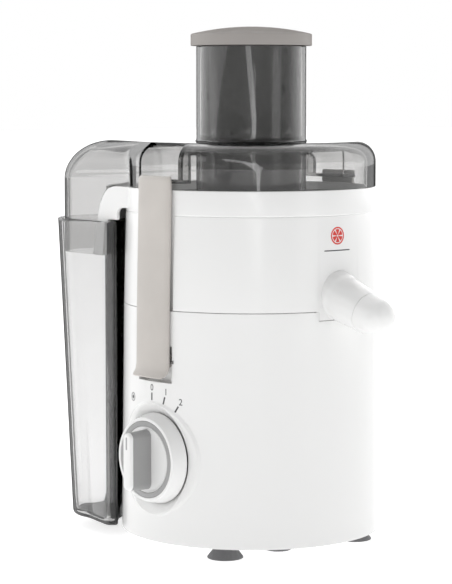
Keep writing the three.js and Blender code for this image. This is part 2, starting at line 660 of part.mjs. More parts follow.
// ---------------------------------------------------------------- assembly
add('motor_housing', 'white', motorHousing());
add('base_plate', 'white', basePlate());
FEET.forEach((place, i) => add(`suction_foot_${i + 1}`, 'rubber', foot(place, 1)));
add('suction_foot_5', 'rubber', foot(SMALL_FOOT, 0.75));
SCREWS.forEach((place, i) => add(`base_screw_${i + 1}`, 'steel', baseScrew(place)));
add('cord_gland', 'black', cordGland());

add('motor_stator', 'lamination', stator());
add('field_coil_front', 'copper', fieldCoil(-1));
add('field_coil_back', 'copper', fieldCoil(1));
add('motor_bracket_upper', 'steel', bracket(MOTOR.upper, 14));
add('motor_bracket_lower', 'steel', bracket(30, 14));
add('motor_bearing_upper', 'steel', bearing(MOTOR.upper - 1.5));
add('motor_bearing_lower', 'steel', bearing(28.4));
add('motor_mount_left', 'rubber', motorMount(-1));
add('motor_mount_right', 'rubber', motorMount(1));
add('motor_pillar_left', 'steel', motorPillar(-1));
add('motor_pillar_right', 'steel', motorPillar(1));
add('brush_holder_left', 'black', brushHolder(-1));
add('brush_holder_right', 'black', brushHolder(1));
add('shaft_seal', 'rubber', ring(4.8, 15.7, 161.6, 164, MEDIUM));
add('rotary_switch', 'black', rotarySwitch());
add('safety_switch', 'black', safetySwitch());
add('clamp_pin_left', 'steel', clampPin(-1));
add('clamp_pin_right', 'steel', clampPin(1));

add('motor_shaft', 'steel', drum(4, 24, 178, SMALL));
add('armature', 'copper', armature());
add('commutator', 'copper', ring(4.3, 13, 39, 52, 16));
add('cooling_fan', 'black', coolingFan());
add('drive_coupling', 'black', driveCoupling());

add('control_knob', 'white', controlKnob());
add('knob_ring', 'grey', knobRing());
add('knob_grip', 'white', knobGrip());
add('knob_shaft', 'steel', knobShaft());

add('clamp_left', 'taupe', clamp(-1));
add('clamp_right', 'taupe', clamp(1));

add('juice_collector', 'white', juiceCollector());
add('spout_tip', 'white', spoutTip());
add('basket_frame', 'smoke', basketFrame());
add('basket_strainer', 'steel', strainer());
add('basket_rim', 'smoke', basketRim());
add('grater_disc', 'steel', graterDisc());
add('cover', 'smoke', cover());
add('pusher_body', 'grey', pusherBody());
add('pusher_cap', 'taupe', pusherCap());
add('pulp_container', 'smoke', pulpContainer());

// The origin is on the table under the middle of the object's box.
const box = new THREE.Box3().setFromObject(group);
group.position.set(-(box.min.x + box.max.x) / 2, -(box.min.y + box.max.y) / 2, 0);

export default group;
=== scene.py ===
"""Visual model of a centrifugal juicer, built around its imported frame. Lengths here are millimetres,
measured from the column's axis on the table; place() turns them into metres in the frame."""

import math

import bmesh
import bpy
import numpy as np
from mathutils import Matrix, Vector


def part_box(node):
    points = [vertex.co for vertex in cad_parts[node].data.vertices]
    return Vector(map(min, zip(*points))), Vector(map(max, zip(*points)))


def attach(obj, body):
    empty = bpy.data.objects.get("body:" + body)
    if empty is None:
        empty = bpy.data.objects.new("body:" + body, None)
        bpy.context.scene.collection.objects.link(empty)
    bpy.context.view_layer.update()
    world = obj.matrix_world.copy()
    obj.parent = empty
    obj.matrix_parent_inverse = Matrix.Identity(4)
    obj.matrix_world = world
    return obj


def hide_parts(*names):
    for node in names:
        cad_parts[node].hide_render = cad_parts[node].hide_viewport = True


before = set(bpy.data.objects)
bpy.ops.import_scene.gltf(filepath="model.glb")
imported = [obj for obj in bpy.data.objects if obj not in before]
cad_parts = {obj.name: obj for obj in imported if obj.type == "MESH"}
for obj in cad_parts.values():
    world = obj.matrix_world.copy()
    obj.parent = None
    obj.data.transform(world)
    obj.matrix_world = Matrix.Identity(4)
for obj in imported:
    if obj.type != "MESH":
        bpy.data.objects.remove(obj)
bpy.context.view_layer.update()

TAU = 2 * math.pi
UP = (0, 0, 1)


# ------------------------------------------------------------------ places and sizes from the frame
def box_mm(node):
    """Lowest and highest corner of a CAD node in millimetres from the column's axis."""
    low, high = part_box(node)
    return (np.array(low) - AXIS) * 1000, (np.array(high) - AXIS) * 1000


shaft_low, shaft_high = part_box("motor_shaft")
AXIS = np.array([(shaft_low.x + shaft_high.x) / 2, (shaft_low.y + shaft_high.y) / 2, 0.0])

housing_low, housing_high = box_mm("motor_housing")
cover_low, cover_high = box_mm("cover")
bin_low, bin_high = box_mm("pulp_container")
knob_low, knob_high = box_mm("control_knob")
clamp_high = box_mm("clamp_right")[1]

GAP = 0.3
R_BASE = housing_high[0]
Z_BASE = housing_low[2]
Z_HOUSING_TOP = housing_high[2]
Z_SPLIT = Z_HOUSING_TOP + GAP
Z_RIM = box_mm("juice_collector")[1][2]
R_SPLIT = 92.3
R_RIM = 90.3
WALL = 2.6

Z_TUBE_FOOT = 210
Z_TUBE_TOP = cover_high[2]
Z_COVER_TOP = 290
R_TUBE = 39.7
COVER_WALL = 2.2
Z_SKIRT = cover_low[2]

BIN_HALF = bin_high[0]
BIN_BACK = bin_high[1]
BIN_CORNER = 36
BIN_FRONT_R = 97.6
BIN_DRAFT = 7.4
BIN_WALL = 2.2
HOOD_INSET = 5

KNOB_Z = (knob_low[2] + knob_high[2]) / 2
SPOUT_Z = 183
SPOUT_SLOPE = math.radians(18.5)
CLAMP_HALF = clamp_high[1]
CLAMP_THICK = 3.1


def column_radius(z):
    """The column's outside radius, which narrows from the base up to the split and from there to the rim."""
    if z < Z_SPLIT:
        return R_BASE + (R_SPLIT - R_BASE) * (z - Z_BASE) / (Z_SPLIT - Z_BASE)
    return R_SPLIT + (R_RIM - R_SPLIT) * (z - Z_SPLIT) / (Z_RIM - Z_SPLIT)


# ------------------------------------------------------------------ mesh helpers
def place(points):
    """Millimetres from the column's axis, as metres in the frame."""
    return np.asarray(points, float) / 1000 + AXIS


def add_object(name, data):
    item = bpy.data.objects.new(name, data)
    bpy.context.scene.collection.objects.link(item)
    return item


def loose(name, points, faces, sharp=32):
    """A mesh object from points in millimetres, in place but not yet on a body."""
    mesh = bpy.data.meshes.new(name)
    mesh.from_pydata([tuple(p) for p in place(points)], [], [tuple(f) for f in faces])
    piece = add_object(name, mesh)
    clean(piece, sharp)
    return piece


def make(name, points, faces, material, body, replaces=None, sharp=32, slot=None):
    """A finished piece. Edges sharper than the angle stay crisp."""
    return dress(loose(name, points, faces, sharp), material, body, replaces)


MOST_SIDES_SMOOTH = 12


def clean(piece, sharp):
    """Merges doubles, turns the faces outwards and marks the crisp edges. Large end faces stay flat."""
    work = bmesh.new()
    work.from_mesh(piece.data)
    bmesh.ops.remove_doubles(work, verts=work.verts, dist=2e-6)
    bmesh.ops.recalc_face_normals(work, faces=work.faces)
    limit = math.radians(sharp)
    for face in work.faces:
        face.smooth = len(face.verts) <= MOST_SIDES_SMOOTH
    for edge in work.edges:
        edge.smooth = edge.calc_face_angle(math.pi) < limit
    work.to_mesh(piece.data)
    work.free()
    piece.data.update()


def paint(mesh, material):
    mesh.materials.clear()
    mesh.materials.append(material)


def dress(piece, material, body, replaces=None):
    """Gives a piece its material, its body and the CAD node it stands for."""
    paint(piece.data, material)
    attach(piece, body)
    if replaces:
        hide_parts(replaces)
    return piece


def grid_faces(rows, columns, wrap_rows=False):
    """Faces between rows of points that each close on themselves."""
    faces = []
    for i in range(rows if wrap_rows else rows - 1):
        for j in range(columns):
            a = i * columns + j
            b = i * columns + (j + 1) % columns
            c = ((i + 1) % rows) * columns + (j + 1) % columns
            d = ((i + 1) % rows) * columns + j
            faces.append((a, b, c, d))
    return faces


def rounded(corners, steps=5):
    """An outline of (a, b, radius) corners with each corner rounded off. Ends keep their corners."""
    points = []
    count = len(corners)
    for i, (a, b, radius) in enumerate(corners):
        here = np.array([a, b], float)
        if radius <= 0 or i in (0, count - 1):
            points.append(here)
            continue
        before = np.array(corners[i - 1][:2], float)
        after = np.array(corners[(i + 1) % count][:2], float)
        back, ahead = before - here, after - here
        reach = min(radius, 0.48 * np.linalg.norm(back), 0.48 * np.linalg.norm(ahead))
        start = here + back / np.linalg.norm(back) * reach
        end = here + ahead / np.linalg.norm(ahead) * reach
        for k in range(steps + 1):
            t = k / steps
            points.append((1 - t) ** 2 * start + 2 * t * (1 - t) * here + t * t * end)
    return points


def looped(corners, steps=5):
    """A closed outline with every corner rounded."""
    first, last = corners[0], corners[-1]
    middle = ((first[0] + last[0]) / 2, (first[1] + last[1]) / 2, 0)
    return rounded([middle] + list(corners) + [middle], steps)[:-1]


def revolve(outline, angles=None, sides=160, bend=None):
    """Points and faces of an outline of (radius, height) turned about the vertical axis. An outline
    that starts and ends on the axis is closed there, and any other one is closed on itself."""
    if angles is None:
        angles = [TAU * k / sides for k in range(sides)]
    points = []
    for radius, height in outline:
        for angle in angles:
            point = (radius * math.cos(angle), radius * math.sin(angle), height)
            points.append(bend(point) if bend else point)
    starts_on_axis = outline[0][0] < 1e-6
    return np.array(points), grid_faces(len(outline), len(angles), wrap_rows=not starts_on_axis)


def turned(outline, origin, direction, sides=96):
    """A revolved outline carried to a place and a direction."""
    points, faces = revolve(outline, sides=sides)
    return turn_to(points, origin, direction), faces


def turn_to(points, origin, direction):
    """Carries points modelled along +Z from the origin to a place and a direction."""
    turn = Vector(UP).rotation_difference(Vector(direction)).to_matrix()
    return np.asarray(points) @ np.array(turn).T + np.array(origin)


def loft(rings, close=False):
    """A skin over rings of equal length. One face closes each end, unless the skin closes on itself."""
    count = len(rings[0])
    points = np.concatenate([np.asarray(r, float) for r in rings])
    faces = grid_faces(len(rings), count, wrap_rows=close)
    if not close:
        faces.append(tuple(range(count))[::-1])
        faces.append(tuple(range(len(points) - count, len(points))))
    return points, faces


def slab(name, outline, axis, span, material, body, round_off=0.5):
    """A plate that fills a span along axis 0 (X) or 1 (Y), where its outline holds the two other
    coordinates. Its edges are rounded off."""
    low, high = sorted(span)
    turn = round_off * 0.3
    levels = [(low, round_off), (low + turn, turn), (low + round_off, 0),
              (high - round_off, 0), (high - turn, turn), (high, round_off)]
    rings = [np.insert(inset_outline(outline, inset), axis, level, axis=1) for level, inset in levels]
    points, faces = loft(rings)
    return make(name, points, faces, material, body)


def inset_outline(outline, amount):
    """Moves a closed outline inwards by a small amount."""
    flat = np.asarray(outline, float)
    after = np.roll(flat, -1, axis=0) - flat
    before = flat - np.roll(flat, 1, axis=0)
    tangent = after / np.maximum(np.linalg.norm(after, axis=1), 1e-9)[:, None]
    tangent += before / np.maximum(np.linalg.norm(before, axis=1), 1e-9)[:, None]
    tangent /= np.maximum(np.linalg.norm(tangent, axis=1), 1e-9)[:, None]
    normal = np.column_stack([-tangent[:, 1], tangent[:, 0]])
    area = np.sum(flat[:, 0] * np.roll(flat[:, 1], -1) - np.roll(flat[:, 0], -1) * flat[:, 1])
    return flat + normal * amount * (1 if area > 0 else -1)


def carve(piece, tools, operation="DIFFERENCE", sharp=32):
    """Joins or cuts a piece with other meshes for good, and removes them."""
    for tool in tools:
        change = piece.modifiers.new("carve", "BOOLEAN")
        change.operation = operation
        change.solver = "EXACT"
        change.object = tool
        bake(piece)
        bpy.data.objects.remove(tool)
    clean(piece, sharp)


def bake(piece):
    """Applies the modifiers of a piece to its mesh."""
    bpy.context.view_layer.update()
    graph = bpy.context.evaluated_depsgraph_get()
    mesh = bpy.data.meshes.new_from_object(piece.evaluated_get(graph))
    piece.modifiers.clear()
    piece.data = mesh


def smooth_max(a, b, soft):
    """The larger of two values, with the step between them rounded off."""
    h = max(0.0, min(1.0, 0.5 + 0.5 * (a - b) / soft))
    return b + (a - b) * h + soft * h * (1 - h)


COARSE_STEP = 2.5


def split_angles(fine_span, fine):
    """Degrees round a circle: close together inside the span, and wide elsewhere."""
    low, high = fine_span
    marks = []
    angle = 0.0
    while angle < 360 - 1e-6:
        marks.append(angle)
        inside = low <= angle < high
        step = fine if inside else COARSE_STEP
        if angle < low < angle + step:
            step = low - angle
        angle += step
    return marks


def edge_angles(centre, values):
    """Pairs of close angles at each value to both sides of a centre, in degrees, for a crisp step."""
    marks = []
    for value in values:
        for sign in (-1, 1):
            marks += [centre + sign * (value - 0.05), centre + sign * (value + 0.05)]
    return marks


def round_angles(fine_span, crisp, fine=0.55):
    """Angles round a circle in radians, with the crisp ones among them and no other close to those."""
    angles = [a for a in split_angles(fine_span, fine)
              if all(abs((a - c + 180) % 360 - 180) > 0.12 for c in crisp)]
    angles += [c % 360 for c in crisp]
    return [math.radians(a) for a in sorted(angles)]


def degrees_across(half, radius):
    """The angle from the axis to a point half a width across, on a circle."""
    return math.degrees(math.asin(half / radius))


# ------------------------------------------------------------------ materials
def map_range(tree, source, low, high, start, end):
    """A value spread from one range to another. The ends of the new range may be in either order."""
    node = tree.nodes.new("ShaderNodeMapRange")
    node.inputs["From Min"].default_value = start
    node.inputs["From Max"].default_value = end
    node.inputs["To Min"].default_value = low
    node.inputs["To Max"].default_value = high
    tree.links.new(source, node.inputs["Value"])
    return node.outputs["Result"]


class Material:
    """A node material built on a Principled shader."""

    def __init__(self, name, **values):
        self.material = bpy.data.materials.new(name)
        self.material.use_nodes = True
        self.tree = self.material.node_tree
        self.nodes, self.links = self.tree.nodes, self.tree.links
        self.shader = self.nodes["Principled BSDF"]
        for key, value in values.items():
            self.shader.inputs[key.replace("_", " ")].default_value = value
        self.coordinates = self.nodes.new("ShaderNodeTexCoord").outputs["Object"]

    def noise(self, scale, detail=3.0, stretch=None):
        texture = self.nodes.new("ShaderNodeTexNoise")
        texture.inputs["Scale"].default_value = scale
        texture.inputs["Detail"].default_value = detail
        source = self.coordinates
        if stretch:
            mapping = self.nodes.new("ShaderNodeMapping")
            mapping.inputs["Scale"].default_value = stretch
            self.links.new(source, mapping.inputs["Vector"])
            source = mapping.outputs["Vector"]
        self.links.new(source, texture.inputs["Vector"])
        return texture.outputs["Fac"]

    def spread(self, source, socket, low, high, start=0.3, end=0.7):
        """Drives a socket between two values."""
        self.links.new(map_range(self.tree, source, low, high, start, end), self.shader.inputs[socket])

    def shade(self, source, first, second, start=0.35, end=0.65):
        """Drives the base colour between two colours."""
        node = self.nodes.new("ShaderNodeValToRGB")
        for element, position, colour in zip(node.color_ramp.elements, (start, end), (first, second)):
            element.position = position
            element.color = (*colour, 1)
        self.links.new(source, node.inputs["Fac"])
        self.links.new(node.outputs["Color"], self.shader.inputs["Base Color"])

    def facing(self):
        """0 where the surface looks straight at the viewer, 1 where it is seen edge on."""
        weight = self.nodes.new("ShaderNodeLayerWeight")
        weight.inputs["Blend"].default_value = 0.5
        return weight.outputs["Facing"]

    def bump(self, source, depth, strength=0.5):
        node = self.nodes.new("ShaderNodeBump")
        node.inputs["Distance"].default_value = depth
        node.inputs["Strength"].default_value = strength
        self.links.new(source, node.inputs["Height"])
        self.links.new(node.outputs["Normal"], self.shader.inputs["Normal"])


def darker(colour, share):
    return [c * share for c in colour]


def gloss_plastic(name, colour, roughness, coat):
    """Moulded plastic: even colour with a very faint cloud, and gloss that varies a little."""
    made = Material(name, IOR=1.5, Coat_Weight=coat, Coat_Roughness=0.08)
    made.shade(made.noise(9, 1.0), darker(colour, 0.99), colour, 0.2, 0.8)
    made.spread(made.noise(7, 1.0), "Roughness", roughness * 0.95, roughness * 1.05, 0.2, 0.8)
    return made.material


def satin_plastic(name, colour, roughness, grain=1500, depth=0.00003, matt_rim=False):
    """Spark eroded plastic: a fine grain in the surface. A matt rim has no sheen where it is seen edge on."""
    made = Material(name, IOR=1.49)
    if matt_rim:
        made.spread(made.facing(), "IOR", 1.40, 1.02, 0.40, 0.85)
    made.shade(made.noise(30), darker(colour, 0.93), colour)
    made.spread(made.noise(110), "Roughness", roughness * 0.88, roughness * 1.15)
    made.bump(made.noise(grain), depth)
    return made.material


def clear_plastic(name, colour, per_metre, roughness=0.02, rim=(0.52, 0.84)):
    """Smoked clear plastic. It darkens with the length of wall that is looked through. Over the rim,
    a span of facing values, painted shade darkens its colour towards its outline, where it loses its mirror
    sheen."""
    made = Material(name, Transmission_Weight=1.0, IOR=1.49)
    made.spread(made.noise(40), "Roughness", roughness * 0.6, roughness * 2.2)
    made.bump(made.noise(28, 1.0), 0.00002, 0.05)
    # Painted shade: the base colour runs from near white to near black towards the outline.
    made.shade(made.facing(), (0.96, 0.96, 0.96), (0.01, 0.01, 0.01), *rim)
    made.spread(made.facing(), "IOR", 1.49, 1.01, 0.58, 0.84)
    smoke = made.nodes.new("ShaderNodeVolumeAbsorption")
    smoke.inputs["Color"].default_value = (*colour, 1)
    smoke.inputs["Density"].default_value = per_metre
    made.links.new(smoke.outputs["Volume"], made.nodes["Material Output"].inputs["Volume"])
    return made.material


def metal(name, colour, roughness, stretch=None, grain=500):
    """Bare metal. A stretch of its grain along Z gives turned rings, laminations or windings."""
    made = Material(name, Metallic=1.0)
    made.shade(made.noise(45, 3.0, stretch), darker(colour, 0.86), colour)
    made.spread(made.noise(grain, 4.0, stretch), "Roughness", roughness * 0.7, roughness * 1.35)
    made.bump(made.noise(grain, 2.0, stretch), 0.00001)
    return made.material


def sieve_metal():
    """Photo-etched strainer sheet: rows of tiny round holes let light through."""
    made = Material("strainer_mesh", Metallic=1.0, Base_Color=(0.72, 0.73, 0.74, 1))
    cells = made.nodes.new("ShaderNodeTexVoronoi")
    cells.inputs["Scale"].default_value = 620
    cells.inputs["Randomness"].default_value = 0.15
    made.links.new(made.coordinates, cells.inputs["Vector"])
    made.spread(cells.outputs["Distance"], "Alpha", 0.0, 1.0, 0.24, 0.30)
    made.spread(made.noise(300), "Roughness", 0.18, 0.34)
    return made.material


WHITE = gloss_plastic("white_gloss", (0.80, 0.80, 0.795), 0.26, 0.25)
KNOB_WHITE = gloss_plastic("knob_white", (0.82, 0.82, 0.815), 0.30, 0.1)
# The rim span of each clear plastic sets where its painted edge shade lies.
SMOKE = clear_plastic("smoke_clear", (0.50, 0.493, 0.486), 250)
BIN_SMOKE = clear_plastic("smoke_clear_bin", (0.50, 0.496, 0.492), 170, rim=(0.66, 0.95))
BASKET_SMOKE = clear_plastic("basket_clear", (0.10, 0.098, 0.096), 700, 0.05)
CAP = satin_plastic("cap_taupe", (0.33, 0.31, 0.295), 0.5, matt_rim=True)
TAUPE = satin_plastic("clamp_taupe", (0.52, 0.49, 0.46), 0.36)
GREY = satin_plastic("ring_grey", (0.36, 0.36, 0.36), 0.40)
GRIP_GREY = satin_plastic("grip_grey", (0.33, 0.33, 0.33), 0.35)
PUSHER = satin_plastic("pusher_grey", (0.045, 0.044, 0.043), 0.30, depth=0.000008)
RUBBER = satin_plastic("foot_rubber", (0.17, 0.17, 0.175), 0.62, 900, 0.00006)
BLACK = satin_plastic("black_plastic", (0.03, 0.03, 0.032), 0.45)
INK = satin_plastic("ink_grey", (0.07, 0.07, 0.075), 0.5)
RED_INK = satin_plastic("ink_red", (0.62, 0.03, 0.02), 0.4)
STEEL = metal("bright_steel", (0.70, 0.71, 0.72), 0.24)
TURNED_STEEL = metal("turned_steel", (0.62, 0.63, 0.64), 0.3, (1, 1, 12))
CORE_STEEL = metal("core_laminations", (0.25, 0.26, 0.28), 0.42, (1, 1, 40), 900)
COPPER = metal("copper_winding", (0.72, 0.34, 0.16), 0.34, (1, 1, 25), 700)
SIEVE = sieve_metal()

CAD_LOOKS = [
    (RUBBER, ["motor_mount_left", "motor_mount_right", "shaft_seal"]),
    (STEEL, ["motor_bracket_upper", "motor_bracket_lower", "motor_pillar_left", "motor_pillar_right",
             "base_screw_1", "base_screw_2", "base_screw_3", "base_screw_4"]),
    (TURNED_STEEL, ["motor_shaft", "knob_shaft", "motor_bearing_upper", "motor_bearing_lower",
                    "clamp_pin_left", "clamp_pin_right"]),
    (CORE_STEEL, ["motor_stator"]),
    (COPPER, ["field_coil_front", "field_coil_back", "armature", "commutator"]),
    (BLACK, ["brush_holder_left", "brush_holder_right", "rotary_switch", "safety_switch",
             "cooling_fan", "drive_coupling", "cord_gland"]),
    (WHITE, ["base_plate"]),
]


def paint_cad_nodes():
    """Gives a look to the CAD nodes that show as they are."""
    for look, nodes in CAD_LOOKS:
        for node in nodes:
            paint(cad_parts[node].data, look)


# ------------------------------------------------------------------ motor housing
DISH_R = 39.0
DISH_FLAT = 20
DISH_CURVE = 1.1
DISH_DEPTH = 14
DISH_SIDE_CURVE = 0.35
DISH_BLEND = 0.5
LIP = 1.2
LIP_FOOT = 1.3
X_DISH_FLOOR = -80
POCKET_FLOOR = 85.6
POCKET_HALF = CLAMP_HALF + 0.4
POCKET_Z = (123, 149)
R_AT_POCKET = 92.9
NOTCH_HALF = 19
Z_NOTCH = 167.6
Z_NOTCH_BEND = 160
R_INSIDE = 86
Z_DECK = 154
Z_UNDER_DECK = 151.2


def dish_floor(away, face):
    """The dish's surface at a distance from the knob's axis, where the column's face stands at face.
    It is an even bowl, which flattens out at the sides, where the column curves away from the knob."""
    share = max(0.0, (away - DISH_FLAT) / (DISH_R - DISH_FLAT))
    bowl = DISH_DEPTH * share ** DISH_CURVE
    return X_DISH_FLOOR - min(bowl, (X_DISH_FLOOR - face) * share ** DISH_SIDE_CURVE)


def housing_shape(point):
    """Bends a point of the plain wall into the knob's dish with its raised lip, into the pockets of
    the clamps, and down under the spout's notch."""
    x, y, z = point
    radius = math.hypot(x, y)
    if radius < R_INSIDE:
        return point
    outer = radius > column_radius(z) - WALL / 2
    thick = 0 if outer else WALL
    away = math.hypot(y, z - KNOB_Z)
    if x < 0 and away < DISH_R + 4:
        face = -math.sqrt(column_radius(z) ** 2 - y * y)
        lip = LIP * min(1.0, max(0.0, (DISH_R + LIP_FOOT - away) / LIP_FOOT))
        x = face - lip if outer else x
        x = smooth_max(x, dish_floor(away, face - LIP) + thick, DISH_BLEND)
    in_pocket = abs(y) < POCKET_HALF + thick and POCKET_Z[0] - thick < z < POCKET_Z[1] + thick
    if in_pocket and abs(x) > POCKET_FLOOR - thick:
        x = math.copysign(POCKET_FLOOR - thick, x)
    if y < 0 and abs(x) < NOTCH_HALF + GAP and z > Z_NOTCH_BEND:
        z -= (z - Z_NOTCH_BEND) / (Z_HOUSING_TOP - Z_NOTCH_BEND) * (Z_SPLIT - Z_NOTCH)
    return (x, y, z)


def wall_heights():
    """Heights up the wall: close together over the dish and at the pockets' edges."""
    edges = (*POCKET_Z, POCKET_Z[0] - WALL, POCKET_Z[1] + WALL)
    heights = list(np.arange(KNOB_Z - DISH_R - 3, KNOB_Z + DISH_R + 3, 0.8))
    heights += [z + step for z in edges for step in (-0.05, 0.05)]
    heights += [14, 19, 117, 136, 156, Z_NOTCH_BEND, 166, 170]
    return sorted(heights)


def motor_housing():
    """The shell: up its outside, over its top edge, across the deck round the coupling and down inside."""
    bottom = rounded([(R_BASE - WALL / 2, Z_BASE, 0), (R_BASE, Z_BASE, 1.6), (column_radius(13), 13, 0)])
    up = [(column_radius(z), z) for z in wall_heights()]
    top = rounded([(column_radius(172.4), 172.4, 0), (column_radius(Z_HOUSING_TOP), Z_HOUSING_TOP, 0.6),
                   (R_SPLIT - 2.3, Z_HOUSING_TOP, 0.4), (R_SPLIT - 2.5, 170, 0)])
    deck = rounded([(R_SPLIT - 2.5, Z_NOTCH_BEND, 0), (R_SPLIT - 2.5, Z_DECK, 1.5), (40, Z_DECK, 3),
                    (36.6, 164, 1.6), (16, 164, 0.6), (16, 161.4, 0.4), (34, 161.4, 1),
                    (38, Z_UNDER_DECK, 1), (89.6, Z_UNDER_DECK, 1.5), (89.8, 149.6, 0)])
    down = [(column_radius(z) - WALL, z) for z in reversed(wall_heights()) if z < 149.4]
    pocket = [degrees_across(POCKET_HALF + more, R_AT_POCKET) for more in (0, WALL)]
    crisp = edge_angles(180, pocket) + edge_angles(0, pocket)
    crisp += edge_angles(270, [degrees_across(NOTCH_HALF + GAP, R_SPLIT)])
    points, faces = revolve(bottom + up + top + deck + down, round_angles((150, 210), crisp),
                            bend=housing_shape)
    make("motor_housing_shell", points, faces, WHITE, "motor_unit", "motor_housing", slot="white_gloss")


# ------------------------------------------------------------------ juice collector
GROOVE_Z = 240
GROOVE_DEPTH = 0.45
GROOVE_HALF = 0.7
CHANNEL_R = 90.15
CHANNEL_HALF = CLAMP_HALF + 0.6
R_AT_CHANNEL = 91.3
R_INNER = R_RIM - WALL
WINDOW_HALF = 66
WINDOW_Z = 245.3
Z_WINDOW_BEND = 230
Z_COLLECTOR_BEND = 190
SPOUT_NECK = 27
SPOUT_BORE = 9.5
SPOUT_WAY = (0, -math.cos(SPOUT_SLOPE), -math.sin(SPOUT_SLOPE))


def collector_shape(point):
    """Bends a point of the plain bowl into the clamps' channels, the spout's notch and the low edge
    that pulp leaves over at the back."""
    x, y, z = point
    radius = math.hypot(x, y)
    if radius > CHANNEL_R and abs(y) < CHANNEL_HALF and z > Z_SPLIT - 2:
        x, y = x * CHANNEL_R / radius, y * CHANNEL_R / radius
    if y < 0 and abs(x) < NOTCH_HALF and radius > 89 and z < Z_COLLECTOR_BEND:
        z -= (Z_COLLECTOR_BEND - z) / (Z_COLLECTOR_BEND - Z_SPLIT) * (Z_SPLIT - Z_NOTCH)
    if y > 0 and abs(x) < WINDOW_HALF and z > Z_WINDOW_BEND:
        z = Z_WINDOW_BEND + (z - Z_WINDOW_BEND) * (WINDOW_Z - Z_WINDOW_BEND) / (Z_RIM - Z_WINDOW_BEND)
    return (x, y, z)


def spout_point(distance):
    """A point on the spout's centre line, at a distance out from the column's face."""
    return (0, -R_SPLIT - distance * math.cos(SPOUT_SLOPE), SPOUT_Z - distance * math.sin(SPOUT_SLOPE))


def drum(name, radius, low, high):
    """A plain upright tool about the column's axis."""
    points, faces = revolve([(0, low), (radius, low), (radius, high), (0, high)], sides=180)
    return loose(name, points, faces)


def juice_collector():
    """The bowl, with the spout's root joined to it and bored through."""
    below, above = GROOVE_Z - GROOVE_HALF, GROOVE_Z + GROOVE_HALF
    outline = looped([
        (R_SPLIT, Z_SPLIT, 0.5), (column_radius(200), 200, 0), (column_radius(below), below, 0.3),
        (column_radius(GROOVE_Z) - GROOVE_DEPTH, GROOVE_Z, 0.2), (column_radius(above), above, 0.3),
        (R_RIM, Z_RIM, 0.9), (R_INNER, Z_RIM, 0.8), (R_INNER, 200, 0), (R_INNER, 176, 5),
        (84, 169.6, 2), (20, 171.4, 1.2), (20, 190.5, 0.8), (17.4, 190.5, 0.6), (17.4, 166.6, 0.5),
        (86.2, 166.6, 0.6), (86.2, 154.4, 0.5), (88.6, 154.4, 0.6), (88.6, Z_SPLIT, 0.3)])
    channel = [degrees_across(CHANNEL_HALF, R_AT_CHANNEL)]
    crisp = edge_angles(180, channel) + edge_angles(0, channel)
    crisp += edge_angles(270, [degrees_across(NOTCH_HALF, R_SPLIT)])
    crisp += edge_angles(90, [degrees_across(WINDOW_HALF, 90)])
    points, faces = revolve(outline, round_angles((240, 300), crisp, fine=1.2), bend=collector_shape)
    piece = make("juice_collector_bowl", points, faces, WHITE, "collector", "juice_collector",
                 slot="white_gloss")
    neck = SPOUT_NECK - 0.15
    outline = rounded([(0, -6, 0), (17.6, -6, 0), (17.2, 0, 1), (16.2, 3, 2), (15.3, 14, 6),
                       (14.4, neck, 0.2), (11.1, neck, 0.3), (11.1, neck + 6.15, 0.5), (0, neck + 6.15, 0)])
    root = loose("spout_root", *turned(outline, spout_point(0), SPOUT_WAY))
    carve(root, [drum("trim", R_INNER + 0.8, 150, 210), drum("trim_low", R_SPLIT + GAP, 140, Z_NOTCH)])
    carve(piece, [root], "UNION")
    outline = [(0, -14), (SPOUT_BORE, -14), (SPOUT_BORE, 40), (0, 40)]
    carve(piece, [loose("bore", *turned(outline, spout_point(0), SPOUT_WAY, 64))], sharp=30)
    paint(piece.data, WHITE)


CHUTE_BACK = [(82, 207), (78, 233), (76.9, 239.7), (75.1, 244.9), (71.6, 250.8), (66.9, 255.6), (60, Z_RIM)]
CHUTE_SIDE = 80
CHUTE_WALL = 2.6
Z_BRIDGE = 242.4
CURTAIN_R = 102.2
CURTAIN_WALL = 2.0


def arc_sweep(name, section, half, radius, limit=math.inf):
    """A section of (radius, height) swept over the arc behind the column, out to half its width at a
    radius. No point goes further out to the sides than the limit."""
    start = math.asin(half / radius)
    rings = []
    for a in np.linspace(start, math.pi - start, 96):
        most = limit / max(abs(math.cos(a)), 1e-6)
        rings.append([(min(r, most) * math.cos(a), min(r, most) * math.sin(a), z) for r, z in section])
    make(name, *loft(rings), WHITE, "collector")


def chute():
    """The cheeks, curtain and bridge that straddle the container's front wall."""
    z_clear = bin_high[2] + 1.4
    front = [(41, Z_BRIDGE, 1.0), (52, Z_BRIDGE, 2.5), (55.6, 239.6, 1.5), (55.6, z_clear, 1.0),
             (66, z_clear, 1), (68, 221, 2), (70, Z_SKIRT, 1.5)]
    back = [(y, z, 2.5) for y, z in CHUTE_BACK]
    outline = looped(front + back + [(41, Z_RIM, 1.0)], 6)
    for side, name in ((-1, "left"), (1, "right")):
        span = (side * (CHUTE_SIDE - CHUTE_WALL), side * CHUTE_SIDE)
        slab(f"chute_cheek_{name}", outline, 0, span, WHITE, "collector", 0.4)
    near, far = CURTAIN_R, CURTAIN_R + CURTAIN_WALL
    curtain = looped([(near, Z_SKIRT, 0.8), (far, Z_SKIRT, 0.8), (far, Z_RIM, 0.8), (near, Z_RIM, 0.8)])
    arc_sweep("chute_curtain", curtain, 67, 103.2)
    near, far, top = 88.4, 103, Z_BRIDGE + CHUTE_WALL
    bridge = looped([(near, Z_BRIDGE, 0.5), (far, Z_BRIDGE, 0.5), (far, top, 0.8), (near, top, 0.5)])
    arc_sweep("chute_bridge", bridge, 48, 96, CHUTE_SIDE - 1.6)


